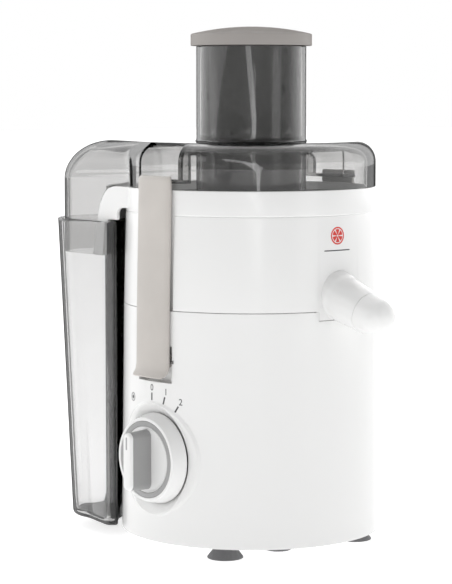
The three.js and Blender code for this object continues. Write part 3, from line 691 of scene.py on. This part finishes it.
def spout_tip():
    """The turning end: a domed cap cut flat below, softened, then hollowed and given its mouth."""
    start, low = SPOUT_NECK + 0.12, box_mm("spout_tip")[0][2]
    dome = [(13.9 * math.cos(a), start + 9.6 + 12.2 * math.sin(a)) for a in np.linspace(0, math.pi / 2, 16)]
    outline = [(0, start - 4)] + rounded([(14.4, start - 4, 0), (14.35, start, 0), (14.2, start + 4, 3),
                                          (13.95, start + 9, 0)]) + dome[:-1] + [(0, dome[-1][1])]
    body = loose("spout_end_cap", *turned(outline, spout_point(0), SPOUT_WAY))
    _, y, z = spout_point(36)
    below = [(0, low), (60, low), (60, low - 40), (0, low - 40)]
    carve(body, [loose("below", *turned(below, (0, y, 0), UP, 12))])
    even = body.modifiers.new("even", "REMESH")
    even.mode = "VOXEL"
    even.voxel_size = 0.00045
    soften = body.modifiers.new("soften", "SMOOTH")
    soften.factor = 0.5
    soften.iterations = 14
    bake(body)
    behind = [(0, start), (60, start), (60, start - 40), (0, start - 40)]
    bore = [(0, start - 1), (11.6, start - 1), (11.6, start + 12), (0, start + 17)]
    mouth = [(0, low - 3), (9.4, low - 3), (9.4, z - 4), (0, z)]
    carve(body, [loose("behind", *turned(behind, spout_point(0), SPOUT_WAY, 12)),
                 loose("bore", *turned(bore, spout_point(0), SPOUT_WAY, 64)),
                 loose("mouth", *turned(mouth, (0, y, 0), UP, 64))], sharp=40)
    dress(body, WHITE, "spout_end", "spout_tip")


# ------------------------------------------------------------------ clamps
CLAMP_GAP = 0.5
CLAMP_END_TAPER = {0: 2.4, 1: 1.2, 2: 0.5, 3: 0.15}
CLAMP_SECTION_POINTS = 56
KNUCKLE_SPAN = (4.5, 13.6)


def clamp(side, name):
    """A curved arm: rounded-off sections carried from the flared lip up to the rounded top."""
    thick = CLAMP_THICK
    path = [(column_radius(z) + CLAMP_GAP + thick / 2, z, thick) for z in np.linspace(138, 254, 30)]
    lip = [(column_radius(126) + 6.6, 126.6, 1.6), (column_radius(126) + 6.2, 127.3, 2.6),
           (column_radius(127) + 5.0, 128.4, 3.0), (column_radius(129) + 3.4, 130.2, 3.1),
           (column_radius(131) + 2.5, 132.4, 3.1), (column_radius(134) + 2.1, 135, thick)]
    top = [(column_radius(258) + 0.55 + thick / 2, 259, thick),
           (column_radius(258) + 0.6 + thick / 2, 262.5, thick),
           (R_RIM + 0.75 + thick * 0.47, 264.6, thick * 0.94),
           (R_RIM + 0.7 + thick * 0.41, 266.1, thick * 0.8),
           (R_RIM + 0.65 + thick * 0.33, 266.9, thick * 0.62),
           (R_RIM + 0.6 + thick * 0.24, clamp_high[2], thick * 0.4)]
    stations = lip + path + top
    rings = []
    for index, (radius, z, depth) in enumerate(stations):
        from_end = min(index, len(stations) - 1 - index)
        half = CLAMP_HALF - CLAMP_END_TAPER.get(from_end, 0.0)
        ring = []
        for k in range(CLAMP_SECTION_POINTS):
            angle = TAU * k / CLAMP_SECTION_POINTS
            c, s = math.cos(angle), math.sin(angle)
            across = math.copysign(abs(c) ** 0.16, c) * half
            deep = math.copysign(abs(s) ** 0.55, s) * depth / 2
            around = across / radius
            ring.append((side * (radius + deep) * math.cos(around), (radius + deep) * math.sin(around), z))
        rings.append(ring)
    points, faces = loft(rings)
    make(f"locking_clamp_{name}", points, faces, TAUPE, f"{name}_clamp", f"clamp_{name}", slot="light_taupe")
    outline = looped([(87.2, 135, 1.2), (88.6, 133.8, 1), (93.9, 133.8, 0.8), (93.9, 148, 0.8),
                      (91.6, 148, 0.8), (87.2, 140.4, 2)])
    outline = [(side * x, z) for x, z in outline]
    for sign, end in ((-1, "front"), (1, "back")):
        span = (sign * KNUCKLE_SPAN[0], sign * KNUCKLE_SPAN[1])
        slab(f"clamp_{name}_knuckle_{end}", outline, 1, span, TAUPE, f"{name}_clamp")


# ------------------------------------------------------------------ cover with feed tube and hood
HOOD_HALF = BIN_HALF - HOOD_INSET
HOOD_BACK = BIN_BACK - HOOD_INSET
HOOD_CORNER = BIN_CORNER - HOOD_INSET
Z_SHOULDER = 261
Z_LEDGE = 264.3
POCKET_X = 77.3
COVER_POCKET_HALF = CLAMP_HALF + 1
COVER_SHOULDER = 14
INNER_SHOULDER = 12.4
HOOD_BLEND = 3.0
HOOD_DRAW_BACK = 0.36
HOOD_DRAW_SIDE = 0.3
ROOT_R = R_TUBE + 4


def hood_radius(angle, z, inset, top):
    """How far the hood reaches from the column's axis in a direction, at a height. Above its shoulder
    the hood draws in from the back and from the sides. The reach is found by halving."""
    rise = max(0.0, min(1.0, (z - Z_SHOULDER) / (top - Z_SHOULDER)))
    draw = 1 - math.sqrt(max(0.0, 1 - rise * rise))
    half, back, corner = HOOD_HALF - inset, HOOD_BACK - inset, HOOD_CORNER - inset
    dx, dy = math.cos(angle), math.sin(angle)
    if dy <= 0.02:
        return 0.0
    low, high = 0.0, 260.0
    for _ in range(34):
        middle = (low + high) / 2
        x, y = abs(middle * dx), middle * dy
        y = 40 + (y - 40) / (1 - HOOD_DRAW_BACK * draw) if y > 40 else y
        x = x / (1 - HOOD_DRAW_SIDE * draw * min(1, max(0, (y - 15) / 90)))
        over_x, over_y = x - (half - corner), y - (back - corner)
        if over_x > 0 and over_y > 0:
            outside = math.hypot(over_x, over_y) > corner
        else:
            outside = x > half or y > back
        low, high = (low, middle) if outside else (middle, high)
    return low


def round_radius(z, radius, top, shoulder):
    """The radius of a drum whose top edge is rounded by the shoulder."""
    over = max(0.0, z - (top - shoulder))
    return radius - shoulder + math.sqrt(max(0.0, shoulder ** 2 - over ** 2))


def cover_radius(angle, z, inset):
    """How far the cover reaches: round in front, out to the hood behind, in at the clamps' pockets."""
    top = Z_COVER_TOP - inset
    shoulder = COVER_SHOULDER if inset == 0 else INNER_SHOULDER
    plain = round_radius(z, R_RIM - 0.2 - inset, top, shoulder)
    hood = hood_radius(angle, z, inset, top)
    reach = smooth_max(plain, hood, HOOD_BLEND) if hood > 40 else plain
    side = abs(math.cos(angle)) * reach
    across = abs(math.sin(angle)) * (POCKET_X - inset) / max(abs(math.cos(angle)), 1e-6)
    if z > Z_LEDGE - inset and side > POCKET_X - inset and across < COVER_POCKET_HALF + inset:
        reach = min(reach, (POCKET_X - inset) / abs(math.cos(angle)))
    return reach


def skirt_foot(angle):
    """The low edge of the cover: the skirt behind the chute's cheeks, the rim elsewhere."""
    y = hood_radius(angle, Z_SKIRT, 0, Z_COVER_TOP) * math.sin(angle)
    edge_y, edge_z = zip(*reversed(CHUTE_BACK))
    return float(np.interp(y - 0.4, edge_y, edge_z)) + GAP


def cover_angles():
    """Angles of the cover's rings, with crisp ones at the pockets and at the chute's cheeks."""
    pocket = math.degrees(math.atan2(COVER_POCKET_HALF, POCKET_X))
    inner = math.degrees(math.atan2(COVER_POCKET_HALF + COVER_WALL, POCKET_X - COVER_WALL))
    crisp = edge_angles(180, [pocket, inner]) + edge_angles(0, [pocket, inner])
    for y in (60.4, 82.4):
        edge = math.degrees(math.atan2(y, HOOD_HALF))
        crisp += [edge - 0.05, edge + 0.05, 180 - edge - 0.05, 180 - edge + 0.05]
    return round_angles((20, 160), crisp, fine=1.0)


def cover_wall(angles, inset):
    """Rings up the cover's side, from its foot over the shoulder to its top."""
    top = Z_COVER_TOP - inset
    feet = [skirt_foot(a) for a in angles]
    levels = [[foot + (Z_SHOULDER - foot) * share for foot in feet] for share in np.linspace(0, 1, 9)]
    over = [Z_SHOULDER + 1.5, Z_LEDGE - inset - 0.05, Z_LEDGE - inset + 0.05]
    over += [Z_LEDGE + 2, Z_LEDGE + 5, Z_LEDGE + 8]
    over += [top - (top - Z_SHOULDER - 12) * (1 - math.sin(t)) for t in np.linspace(0.25, math.pi / 2, 12)]
    levels += [[z] * len(angles) for z in sorted(over) if z > Z_SHOULDER + 0.4]
    rings = []
    for heights in levels:
        reach = [cover_radius(a, z, inset) for a, z in zip(angles, heights)]
        rings.append([(r * math.cos(a), r * math.sin(a), z) for r, a, z in zip(reach, angles, heights)])
    return rings


def top_rings(angles, inset, shares):
    """Level rings across the cover's top. Their share goes from 0 at its edge to 1 at the tube's root."""
    top = Z_COVER_TOP - inset
    reach = [cover_radius(a, top, inset) for a in angles]
    return [[((r + (ROOT_R - r) * share) * math.cos(a), (r + (ROOT_R - r) * share) * math.sin(a), top)
             for r, a in zip(reach, angles)] for share in shares]


def cover():
    """One closed skin: up the outside, over the top, up and down the feed tube, and back underneath."""
    angles = cover_angles()
    inner = R_TUBE - COVER_WALL
    under = Z_COVER_TOP - COVER_WALL
    fillet = rounded([(R_TUBE + 4.5, Z_COVER_TOP, 0), (R_TUBE, Z_COVER_TOP, 4.2),
                      (R_TUBE, Z_COVER_TOP + 6, 0)], 6)
    tube = rounded([(R_TUBE, 300, 0), (R_TUBE, Z_TUBE_TOP, 0.7), (inner, Z_TUBE_TOP, 0.7), (inner, 340, 0),
                    (inner, 250, 0), (inner, Z_TUBE_FOOT, 0.6), (R_TUBE, Z_TUBE_FOOT, 0.8),
                    (R_TUBE, 250, 0), (R_TUBE, Z_COVER_TOP - 10, 0)], 4)
    under_fillet = rounded([(R_TUBE, Z_COVER_TOP - 8, 0), (R_TUBE, under, 2.5), (ROOT_R, under, 0)], 5)
    shares = (0.05, 0.3, 0.6, 0.9)
    rings = cover_wall(angles, 0) + top_rings(angles, 0, shares)
    for radius, z in fillet + tube + under_fillet:
        rings.append([(radius * math.cos(a), radius * math.sin(a), z) for a in angles])
    rings += top_rings(angles, COVER_WALL, shares[::-1]) + cover_wall(angles, COVER_WALL)[::-1]
    points, faces = loft(rings, close=True)
    make("cover_shell", points, faces, SMOKE, "lid", "cover", sharp=40, slot="smoke_clear")


# ------------------------------------------------------------------ pusher
CAP_DOME_R = 184


CUP_WALL = 2.4
CUP_FLOOR = 2.6


def pusher():
    """A hollow cup, and the domed cap that closes it."""
    pusher_low, pusher_high = box_mm("pusher_body")
    low, high = pusher_low[2], pusher_high[2]
    radius = pusher_high[0] + 0.1
    outline = rounded([(0, low, 0), (radius, low, 2.5), (radius, high, 0.4), (radius - CUP_WALL, high, 0.4),
                       (radius - CUP_WALL, low + CUP_FLOOR, 2), (0, low + CUP_FLOOR, 0)])
    points, faces = revolve(outline, sides=160)
    make("pusher_cup", points, faces, PUSHER, "pusher", "pusher_body", slot="grey_plastic")
    edge, _, z1 = box_mm("pusher_cap")[1]
    z0 = Z_TUBE_TOP + GAP
    dome = [(r, z1 - CAP_DOME_R + math.sqrt(CAP_DOME_R ** 2 - r * r)) for r in np.linspace(edge - 1.4, 0, 24)]
    outline = rounded([(0, 350, 0), (33.7, 350, 1), (33.9, z0, 0.6), (42.6, z0, 0), (edge, z0, 0.6),
                       (edge, z0 + 1.4, 0), (edge, z1 - 7, 0), (edge, z1 - 5.4, 1.3), dome[0] + (0,)], 6)
    outline += dome[1:]
    points, faces = revolve(outline, sides=192)
    make("pusher_lid", points, faces, CAP, "pusher", "pusher_cap", slot="warm_grey")


# ------------------------------------------------------------------ pulp container
BIN_FRONT_CORNER = (5, 7)


def arc(centre, radius, start, end, count):
    """Points along an arc, without its last one."""
    return [(centre[0] + radius * math.cos(a), centre[1] + radius * math.sin(a))
            for a in np.linspace(start, end, count)[:-1]]


def bin_outline(inset):
    """The container's plan: flat sides and back with round corners, and a front that follows the column."""
    half, back, corner = BIN_HALF - inset, BIN_BACK - inset, BIN_CORNER - inset
    front = BIN_FRONT_R + inset
    edge = half - BIN_FRONT_CORNER[0]
    edge_y = math.sqrt(front * front - edge * edge)
    side_y = edge_y + BIN_FRONT_CORNER[1]

    def front_corner(t):
        x = (1 - t * t) * half + t * t * edge
        y = (1 - t) ** 2 * side_y + 2 * t * (1 - t) * (edge_y + 1) + t * t * edge_y
        return x, y

    points = [(half, y) for y in np.linspace(side_y, back - corner, 12)[:-1]]
    points += arc((half - corner, back - corner), corner, 0, math.pi / 2, 28)
    points += [(x, back) for x in np.linspace(half - corner, corner - half, 22)[:-1]]
    points += arc((corner - half, back - corner), corner, math.pi / 2, math.pi, 28)
    points += [(-half, y) for y in np.linspace(back - corner, side_y, 12)[:-1]]
    points += [(-x, y) for x, y in map(front_corner, np.linspace(0, 1, 9)[:-1])]
    start = math.asin(edge_y / front)
    points += arc((0, 0), front, math.pi - start, start, 80)
    return points + [front_corner(t) for t in np.linspace(1, 0, 9)[:-1]]


def bin_ring(inset, z, lift=0.0):
    """The container's outline at a height, with its draft. lift draws it in further, for the low edge."""
    ring = []
    drop = BIN_DRAFT * (bin_high[2] - z) / (bin_high[2] - bin_low[2])
    for x, y in bin_outline(inset + lift):
        share = min(1, max(0, (math.hypot(x, y) - BIN_FRONT_R - 6) / 25))
        ring.append((x - x / BIN_HALF * drop * share, y - drop * share * min(1, (y - 50) / 80), z))
    return ring


def pulp_container():
    """Rings up the outside, over the rim and down the inside to the floor."""
    low, high = bin_low[2], bin_high[2]
    rings = []
    for lift, z in ((4.0, low), (1.6, low + 0.25), (0.5, low + 1.2), (0.05, low + 3.0)):
        rings.append(bin_ring(0, z, lift))
    for z in np.linspace(low + 12, high - 4, 12):
        rings.append(bin_ring(0, z))
    for inset, z in ((0, high - 2.6), (-0.1, high - 0.7), (0.35, high), (1.8, high),
                     (BIN_WALL, high - 0.5), (BIN_WALL, high - 3)):
        rings.append(bin_ring(inset, z))
    for z in np.linspace(high - 6, low + 14, 12):
        rings.append(bin_ring(BIN_WALL, z))
    for lift, z in ((0.1, low + 6), (0.8, low + 3.6), (2.2, low + 2.5), (4.2, low + 2.2)):
        rings.append(bin_ring(BIN_WALL, z, lift))
    points, faces = loft(rings)
    make("pulp_container_shell", points, faces, BIN_SMOKE, "container", "pulp_container", sharp=40,
         slot="smoke_clear")


# ------------------------------------------------------------------ basket
Z_BASKET = 196
RIBS = 12
TOOTH = [(0, 0), (1.3, 0), (0.9, 0.9), (0.25, 1.9), (0, 2.0)]


def basket():
    """The base with its drive socket, the strainer cone with its ribs, the rim and the grater."""
    z = Z_BASKET
    rim_low, rim_high = box_mm("basket_rim")
    outline = rounded([(0, z - 5.4, 0), (11.9, z - 5.4, 0.4), (11.9, z - 20, 0.5), (15.6, z - 20, 0.6),
                       (15.6, z - 4.4, 1), (23, z - 4.4, 1), (23, z - 18, 0.5), (25.2, z - 18, 0.5),
                       (25.2, z - 2, 1.5), (52, z - 2, 1.5), (54.4, z + 5, 0.6), (51.6, z + 5, 0.4),
                       (51.2, z, 1), (0, z, 0)])
    points, faces = revolve(outline, sides=128)
    make("basket_base", points, faces, BASKET_SMOKE, "basket", "basket_frame", slot="smoke_clear")
    low_z, high_z = z + 5.3, rim_high[2] - 4.3
    low_r, high_r = 52.2, 78.4
    sheet = 0.6
    points, faces = revolve([(low_r, low_z), (low_r + sheet, low_z), (high_r + sheet, high_z),
                             (high_r, high_z)], sides=128)
    make("strainer_cone", points, faces, SIEVE, "basket", "basket_strainer", slot="steel")
    for k in range(RIBS):
        a = TAU * k / RIBS
        start = np.array([(low_r + 1.6) * math.cos(a), (low_r + 1.6) * math.sin(a), low_z])
        end = np.array([(high_r + 1.5) * math.cos(a), (high_r + 1.5) * math.sin(a), high_z])
        length = np.linalg.norm(end - start)
        outline = rounded([(0, 0, 0), (1.0, 0, 0.3), (1.0, length, 0.3), (0, length, 0)])
        points, faces = turned(outline, start, end - start, 12)
        make(f"strainer_rib_{k + 1}", points, faces, BASKET_SMOKE, "basket")
    r = rim_high[0]
    outline = looped([(r - 4.2, rim_low[2], 0.6), (r - 0.1, rim_low[2], 0.8), (r, rim_high[2], 1.2),
                      (r - 4.2, rim_high[2], 0.8)])
    points, faces = revolve(outline, sides=160)
    make("basket_rim_ring", points, faces, BASKET_SMOKE, "basket", "basket_rim", slot="smoke_clear")
    grater()


def grater():
    """A plate with rings of small teeth."""
    low, top = Z_BASKET + GAP, Z_BASKET + 1.8
    points, faces = revolve(rounded([(0, low, 0), (50, low, 0.2), (50, top, 0.4), (0, top + 0.6, 0)]),
                            sides=128)
    count = len(points)
    all_points, all_faces = [points], list(faces)
    for ring_index, radius in enumerate((11, 18, 25, 32, 39, 45)):
        teeth = 6 + ring_index * 6
        for k in range(teeth):
            a = TAU * (k + 0.5 * (ring_index % 2)) / teeth
            spot = (radius * math.cos(a), radius * math.sin(a), top - 0.1)
            tooth, tooth_faces = turned(TOOTH, spot, UP, 8)
            all_points.append(tooth)
            all_faces += [tuple(i + count for i in f) for f in tooth_faces]
            count += len(tooth)
    make("grater_plate", np.concatenate(all_points), all_faces, STEEL, "basket", "grater_disc", slot="steel")


# ------------------------------------------------------------------ knob
def grip_ring(x, half, straight, steps=72):
    """A long round-ended outline across the knob's axis."""
    ring = []
    for k in range(steps):
        across, up = math.cos(TAU * (k + 0.5) / steps), math.sin(TAU * (k + 0.5) / steps)
        ring.append((x, half * across, KNOB_Z + half * up + math.copysign(straight, up)))
    return ring


def knob():
    """The disc with its inlaid ring, and the grip across it with a white face and a pointer."""
    way, origin = (-1, 0, 0), (knob_high[0], 0, KNOB_Z)
    outline = rounded([(0, 0, 0), (19, 0, 0.6), (21, 1.6, 1), (26, 4.8, 2), (32.2, 9.0, 0.8),
                       (31.9, 10.6, 1.5), (30.2, 17.6, 4), (29.8, 19.2, 0.8), (29.4, 20, 0.5),
                       (27.3, 20, 0.3),
                       (27.15, 18.6, 0.2), (23.45, 18.6, 0.2), (23.3, 19.9, 0.4), (21.8, 18.9, 1.2),
                       (0, 18.9, 0)], 5)
    points, faces = turned(outline, origin, way, 144)
    make("knob_disc", points, faces, KNOB_WHITE, "knob", "control_knob", slot="white_gloss")
    outline = looped([(23.65, 18.75, 0.2), (27.0, 18.75, 0.2), (27.0, 19.75, 0.3), (23.65, 19.75, 0.3)])
    points, faces = turned(outline, origin, way, 144)
    make("knob_inlay", points, faces, GREY, "knob", "knob_ring", slot="grey_plastic")
    grip_low, grip_high = box_mm("knob_grip")
    start, end = grip_high[0] + 0.25, grip_low[0]
    half = (grip_high[1] - grip_low[1]) / 2
    straight = (grip_high[2] - grip_low[2]) / 2 - half
    side = [(start, 0), (start - 1, 0.05), (end + 8, 0.5), (end + 2.6, 0.75)]
    face = [(end + 2.6, 0.95), (end + 2.3, 0.72), (end + 1.1, 1.1), (end + 0.35, 1.7), (end, 2.8)]
    points, faces = loft([grip_ring(x, half - shrink, straight) for x, shrink in side])
    make("knob_grip_bar", points, faces, GRIP_GREY, "knob", "knob_grip", slot="white_gloss")
    points, faces = loft([grip_ring(x, half - shrink, straight) for x, shrink in face])
    make("knob_grip_face", points, faces, KNOB_WHITE, "knob")
    outline = looped([(-0.75, 8.6, 0.7), (0.75, 8.6, 0.7), (0.75, 17.4, 0.7), (-0.75, 17.4, 0.7)], 4)
    outline = [(y, KNOB_Z + z) for y, z in outline]
    slab("knob_pointer", outline, 0, (end - 0.12, end + 1.2), GREY, "knob", 0.1)


# ------------------------------------------------------------------ feet
FOOT_WIDTH = 25.6


def feet():
    """Suction feet with a flared lip and a ringed neck. A smaller foot is narrower, not lower."""
    for index in range(1, 6):
        low, high = box_mm(f"suction_foot_{index}")
        x, y, _ = (low + high) / 2
        scale = (high[0] - low[0]) / FOOT_WIDTH
        outline = rounded([(0, 1.2, 0), (8.5, 1.2, 1), (10.8, 0, 0.5), (12.6, 0, 0.4), (12.8, 0.8, 0.5),
                           (10.6, 3.7, 2), (8.8, 6.0, 1.2), (8.5, 6.6, 0.4), (8.9, 7.4, 0.5), (8.5, 8.4, 0.5),
                           (8.4, 9.9, 0.4), (4, 9.9, 0.3), (4, 13.4, 0.5), (0, 13.4, 0)], 4)
        outline = [(r * scale, z) for r, z in outline]
        points, faces = turned(outline, (x, y, 0), UP, 64)
        make(f"suction_pad_{index}", points, faces, RUBBER, "motor_unit", f"suction_foot_{index}",
             slot="foot_rubber")


# ------------------------------------------------------------------ printed marks
DIAL = (179.0, KNOB_Z, "motor_unit")
FRONT = (268.6, 226.0, "collector")
TICK_AWAY = 43.8
NUMERAL_AWAY = 50
PULSE_AWAY = 48


def wrap_on_column(flat, azimuth, height, proud):
    """Lays flat points (across, up) on the column's face at an azimuth, in degrees from +X."""
    wrapped = []
    for across, up in flat:
        z = height + up
        radius = column_radius(z) + proud
        angle = math.radians(azimuth) + across / radius
        wrapped.append((radius * math.cos(angle), radius * math.sin(angle), z))
    return wrapped


def print_mark(name, flat, faces, panel, material):
    """A printed mark: a film with a little thickness that follows the column. Its panel is an azimuth,
    a height and a body."""
    azimuth, height, body = panel
    count = len(flat)
    outer = wrap_on_column(flat, azimuth, height, 0.09)
    inner = wrap_on_column(flat, azimuth, height, -0.05)
    skin = [tuple(f) for f in faces] + [tuple(i + count for i in reversed(f)) for f in faces]
    edges = {(a, b) for face in faces for a, b in zip(face, [*face[1:], face[0]])}
    skin += [(b, a, a + count, b + count) for a, b in edges if (b, a) not in edges]
    make(name, np.array(outer + inner), skin, material, body)


def strip_faces(count):
    """Faces along a strip whose points come in pairs."""
    return [(2 * k, 2 * k + 1, 2 * k + 3, 2 * k + 2) for k in range(count)]


def bar_mark(name, centre, angle, length, width, panel, cuts=6):
    """A straight bar, at an angle from upright."""
    flat = []
    for k in range(cuts + 1):
        t = (k / cuts - 0.5) * length
        for side in (-width / 2, width / 2):
            flat.append((centre[0] + t * math.sin(angle) + side * math.cos(angle),
                         centre[1] + t * math.cos(angle) - side * math.sin(angle)))
    print_mark(name, flat, strip_faces(cuts), panel, INK)


def numeral(name, text, centre, size, panel):
    """A digit of the dial, in the font that Blender carries."""
    curve = bpy.data.curves.new(name, "FONT")
    curve.body = text
    curve.size = size
    curve.align_x = "CENTER"
    curve.align_y = "CENTER"
    curve.resolution_u = 4
    holder = add_object(name, curve)
    bpy.context.view_layer.update()
    mesh = bpy.data.meshes.new_from_object(holder.evaluated_get(bpy.context.evaluated_depsgraph_get()))
    bpy.data.objects.remove(holder)
    work = bmesh.new()
    work.from_mesh(mesh)
    bmesh.ops.remove_doubles(work, verts=work.verts, dist=1e-5)
    bmesh.ops.triangulate(work, faces=work.faces)
    flat = [(centre[0] + v.co.x, centre[1] + v.co.y) for v in work.verts]
    faces = [[v.index for v in f.verts] for f in work.faces]
    work.free()
    print_mark(name, flat, faces, panel, INK)


def disc_mark(name, centre, inner, outer, panel, material, start=0.0, end=TAU, steps=36):
    """A ring, a dot or a sector."""
    flat = []
    for k in range(steps + 1):
        a = start + (end - start) * k / steps
        flat += [(centre[0] + r * math.cos(a), centre[1] + r * math.sin(a)) for r in (inner, outer)]
    print_mark(name, flat, strip_faces(steps), panel, material)


def dial_point(away, angle):
    return (away * math.sin(angle), away * math.cos(angle))


def dial_marks():
    """Ticks and numerals above the knob at the knob's own angles, and a small ring for the pulse place."""
    for text, degrees in (("0", 0.0), ("1", 16.5), ("2", 33.0)):
        angle = math.radians(degrees)
        bar_mark(f"tick_{text}", dial_point(TICK_AWAY, angle), angle, 5.4, 1.25, DIAL)
        numeral(f"numeral_{text}", text, dial_point(NUMERAL_AWAY, angle), 6.6, DIAL)
    pulse = dial_point(PULSE_AWAY, math.radians(-32))
    disc_mark("pulse_ring", pulse, 2.5, 3.1, DIAL, INK)
    disc_mark("pulse_dot", pulse, 0.05, 1.4, DIAL, INK)


def front_mark():
    """A plain fruit slice and a thin line on the collector's front."""
    disc_mark("slice_rind", (0, 0), 5.2, 6.2, FRONT, RED_INK)
    segments, gap = 6, 0.12
    for k in range(segments):
        start = TAU * k / segments + gap
        end = TAU * (k + 1) / segments - gap
        disc_mark(f"slice_segment_{k + 1}", (0, 0), 0.7, 4.6, FRONT, RED_INK, start, end)
    bar_mark("front_line", (0, -10.2), math.pi / 2, 24, 0.8, FRONT)


# ------------------------------------------------------------------ stage, light and camera
CAMERA_AZIMUTH = math.radians(-42.0)
CAMERA_DISTANCE = 1558
CAMERA_HEIGHT = 328
CAMERA_PITCH = math.radians(5.42)
CAMERA_ASIDE = -18.2
LENS = 132.5


def camera():
    data = bpy.data.cameras.new("camera")
    data.lens = LENS
    data.sensor_width = 36
    data.clip_end = 50
    item = add_object("camera", data)
    item.location = place([view_spot(CAMERA_ASIDE, CAMERA_DISTANCE, CAMERA_HEIGHT)])[0]
    item.rotation_euler = (math.pi / 2 - CAMERA_PITCH, 0, CAMERA_AZIMUTH)
    bpy.context.scene.camera = item


def area_light(name, spot, size, power, target=(0, 0, 180)):
    data = bpy.data.lights.new(name, "AREA")
    data.shape = "RECTANGLE"
    data.size, data.size_y = size[0] / 1000, size[1] / 1000
    data.energy = power
    item = add_object(name, data)
    item.location = place([spot])[0]
    way = Vector(place([target])[0]) - item.location
    item.rotation_euler = way.to_track_quat("-Z", "Z").to_euler()


def view_spot(aside, toward, height):
    """A place given across the picture, towards the camera and up."""
    s, c = math.sin(CAMERA_AZIMUTH), math.cos(CAMERA_AZIMUTH)
    return (aside * c + toward * s, aside * s - toward * c, height)


ROOM_FRONT = 0.3
RIM_GLOW = 1.6


def room():
    """A white room. What is seen through the pieces or behind them is white. For the light that falls on
    them it is dimmer on the camera's side, and mirror reflections of its far side are brighter."""
    world = bpy.data.worlds.new("studio")
    bpy.context.scene.world = world
    world.use_nodes = True
    tree = world.node_tree
    nodes, links = tree.nodes, tree.links
    backdrop = nodes["Background"]
    backdrop.inputs["Color"].default_value = (1, 1, 1, 1)
    backdrop.inputs["Strength"].default_value = 1.0
    walls = nodes.new("ShaderNodeBackground")
    walls.inputs["Color"].default_value = (1, 1, 1, 1)
    facing = nodes.new("ShaderNodeVectorMath")
    facing.operation = "DOT_PRODUCT"
    facing.inputs[1].default_value = (math.sin(CAMERA_AZIMUTH), -math.cos(CAMERA_AZIMUTH), 0)
    links.new(nodes.new("ShaderNodeTexCoord").outputs["Generated"], facing.inputs[0])
    to_camera = facing.outputs["Value"]
    path = nodes.new("ShaderNodeLightPath")
    glow = nodes.new("ShaderNodeMath")
    glow.operation = "MULTIPLY_ADD"
    links.new(map_range(tree, to_camera, RIM_GLOW, 0.0, -0.7, 0.1), glow.inputs[0])
    links.new(path.outputs["Is Glossy Ray"], glow.inputs[1])
    links.new(map_range(tree, to_camera, 1.0, ROOM_FRONT, -0.25, 0.35), glow.inputs[2])
    links.new(glow.outputs["Value"], walls.inputs["Strength"])
    either = nodes.new("ShaderNodeMath")
    either.operation = "MAXIMUM"
    links.new(path.outputs["Is Camera Ray"], either.inputs[0])
    links.new(path.outputs["Is Transmission Ray"], either.inputs[1])
    mix = nodes.new("ShaderNodeMixShader")
    links.new(either.outputs["Value"], mix.inputs["Fac"])
    links.new(walls.outputs["Background"], mix.inputs[1])
    links.new(backdrop.outputs["Background"], mix.inputs[2])
    links.new(mix.outputs["Shader"], nodes["World Output"].inputs["Surface"])


def studio():
    room()
    area_light("strip", view_spot(-280, 1980, 700), (250, 1600), 3.8)
    area_light("softbox_left", view_spot(-1236, 402, 650), (600, 1400), 2.6)
    area_light("softbox_right", view_spot(1160, 780, 650), (500, 1400), 1.7)
    area_light("overhead", (0, 0, 1700), (1700, 1700), 4.0, (0, 0, 0))
    floor()
    bpy.context.scene.view_settings.view_transform = "Standard"
    bpy.context.scene.view_settings.look = "None"


FLOOR_HALF = 12000


def floor():
    made = Material("studio_floor", Roughness=0.9)
    made.shade(made.noise(3, 2.0), (0.92, 0.92, 0.92), (0.94, 0.94, 0.94))
    made.shader.inputs["Emission Color"].default_value = (1, 1, 1, 1)
    made.shader.inputs["Emission Strength"].default_value = 0.62
    mesh = bpy.data.meshes.new("floor")
    corners = [(FLOOR_HALF * x, FLOOR_HALF * y, 0) for x, y in ((-1, -1), (1, -1), (1, 1), (-1, 1))]
    mesh.from_pydata([tuple(p) for p in place(corners)], [], [(0, 1, 2, 3)])
    mesh.materials.append(made.material)
    add_object("floor", mesh)


# ------------------------------------------------------------------ assembly
camera()
studio()
paint_cad_nodes()
motor_housing()
juice_collector()
chute()
spout_tip()
clamp(-1, "left")
clamp(1, "right")
cover()
pusher()
pulp_container()
basket()
knob()
feet()
dial_marks()
front_mark()
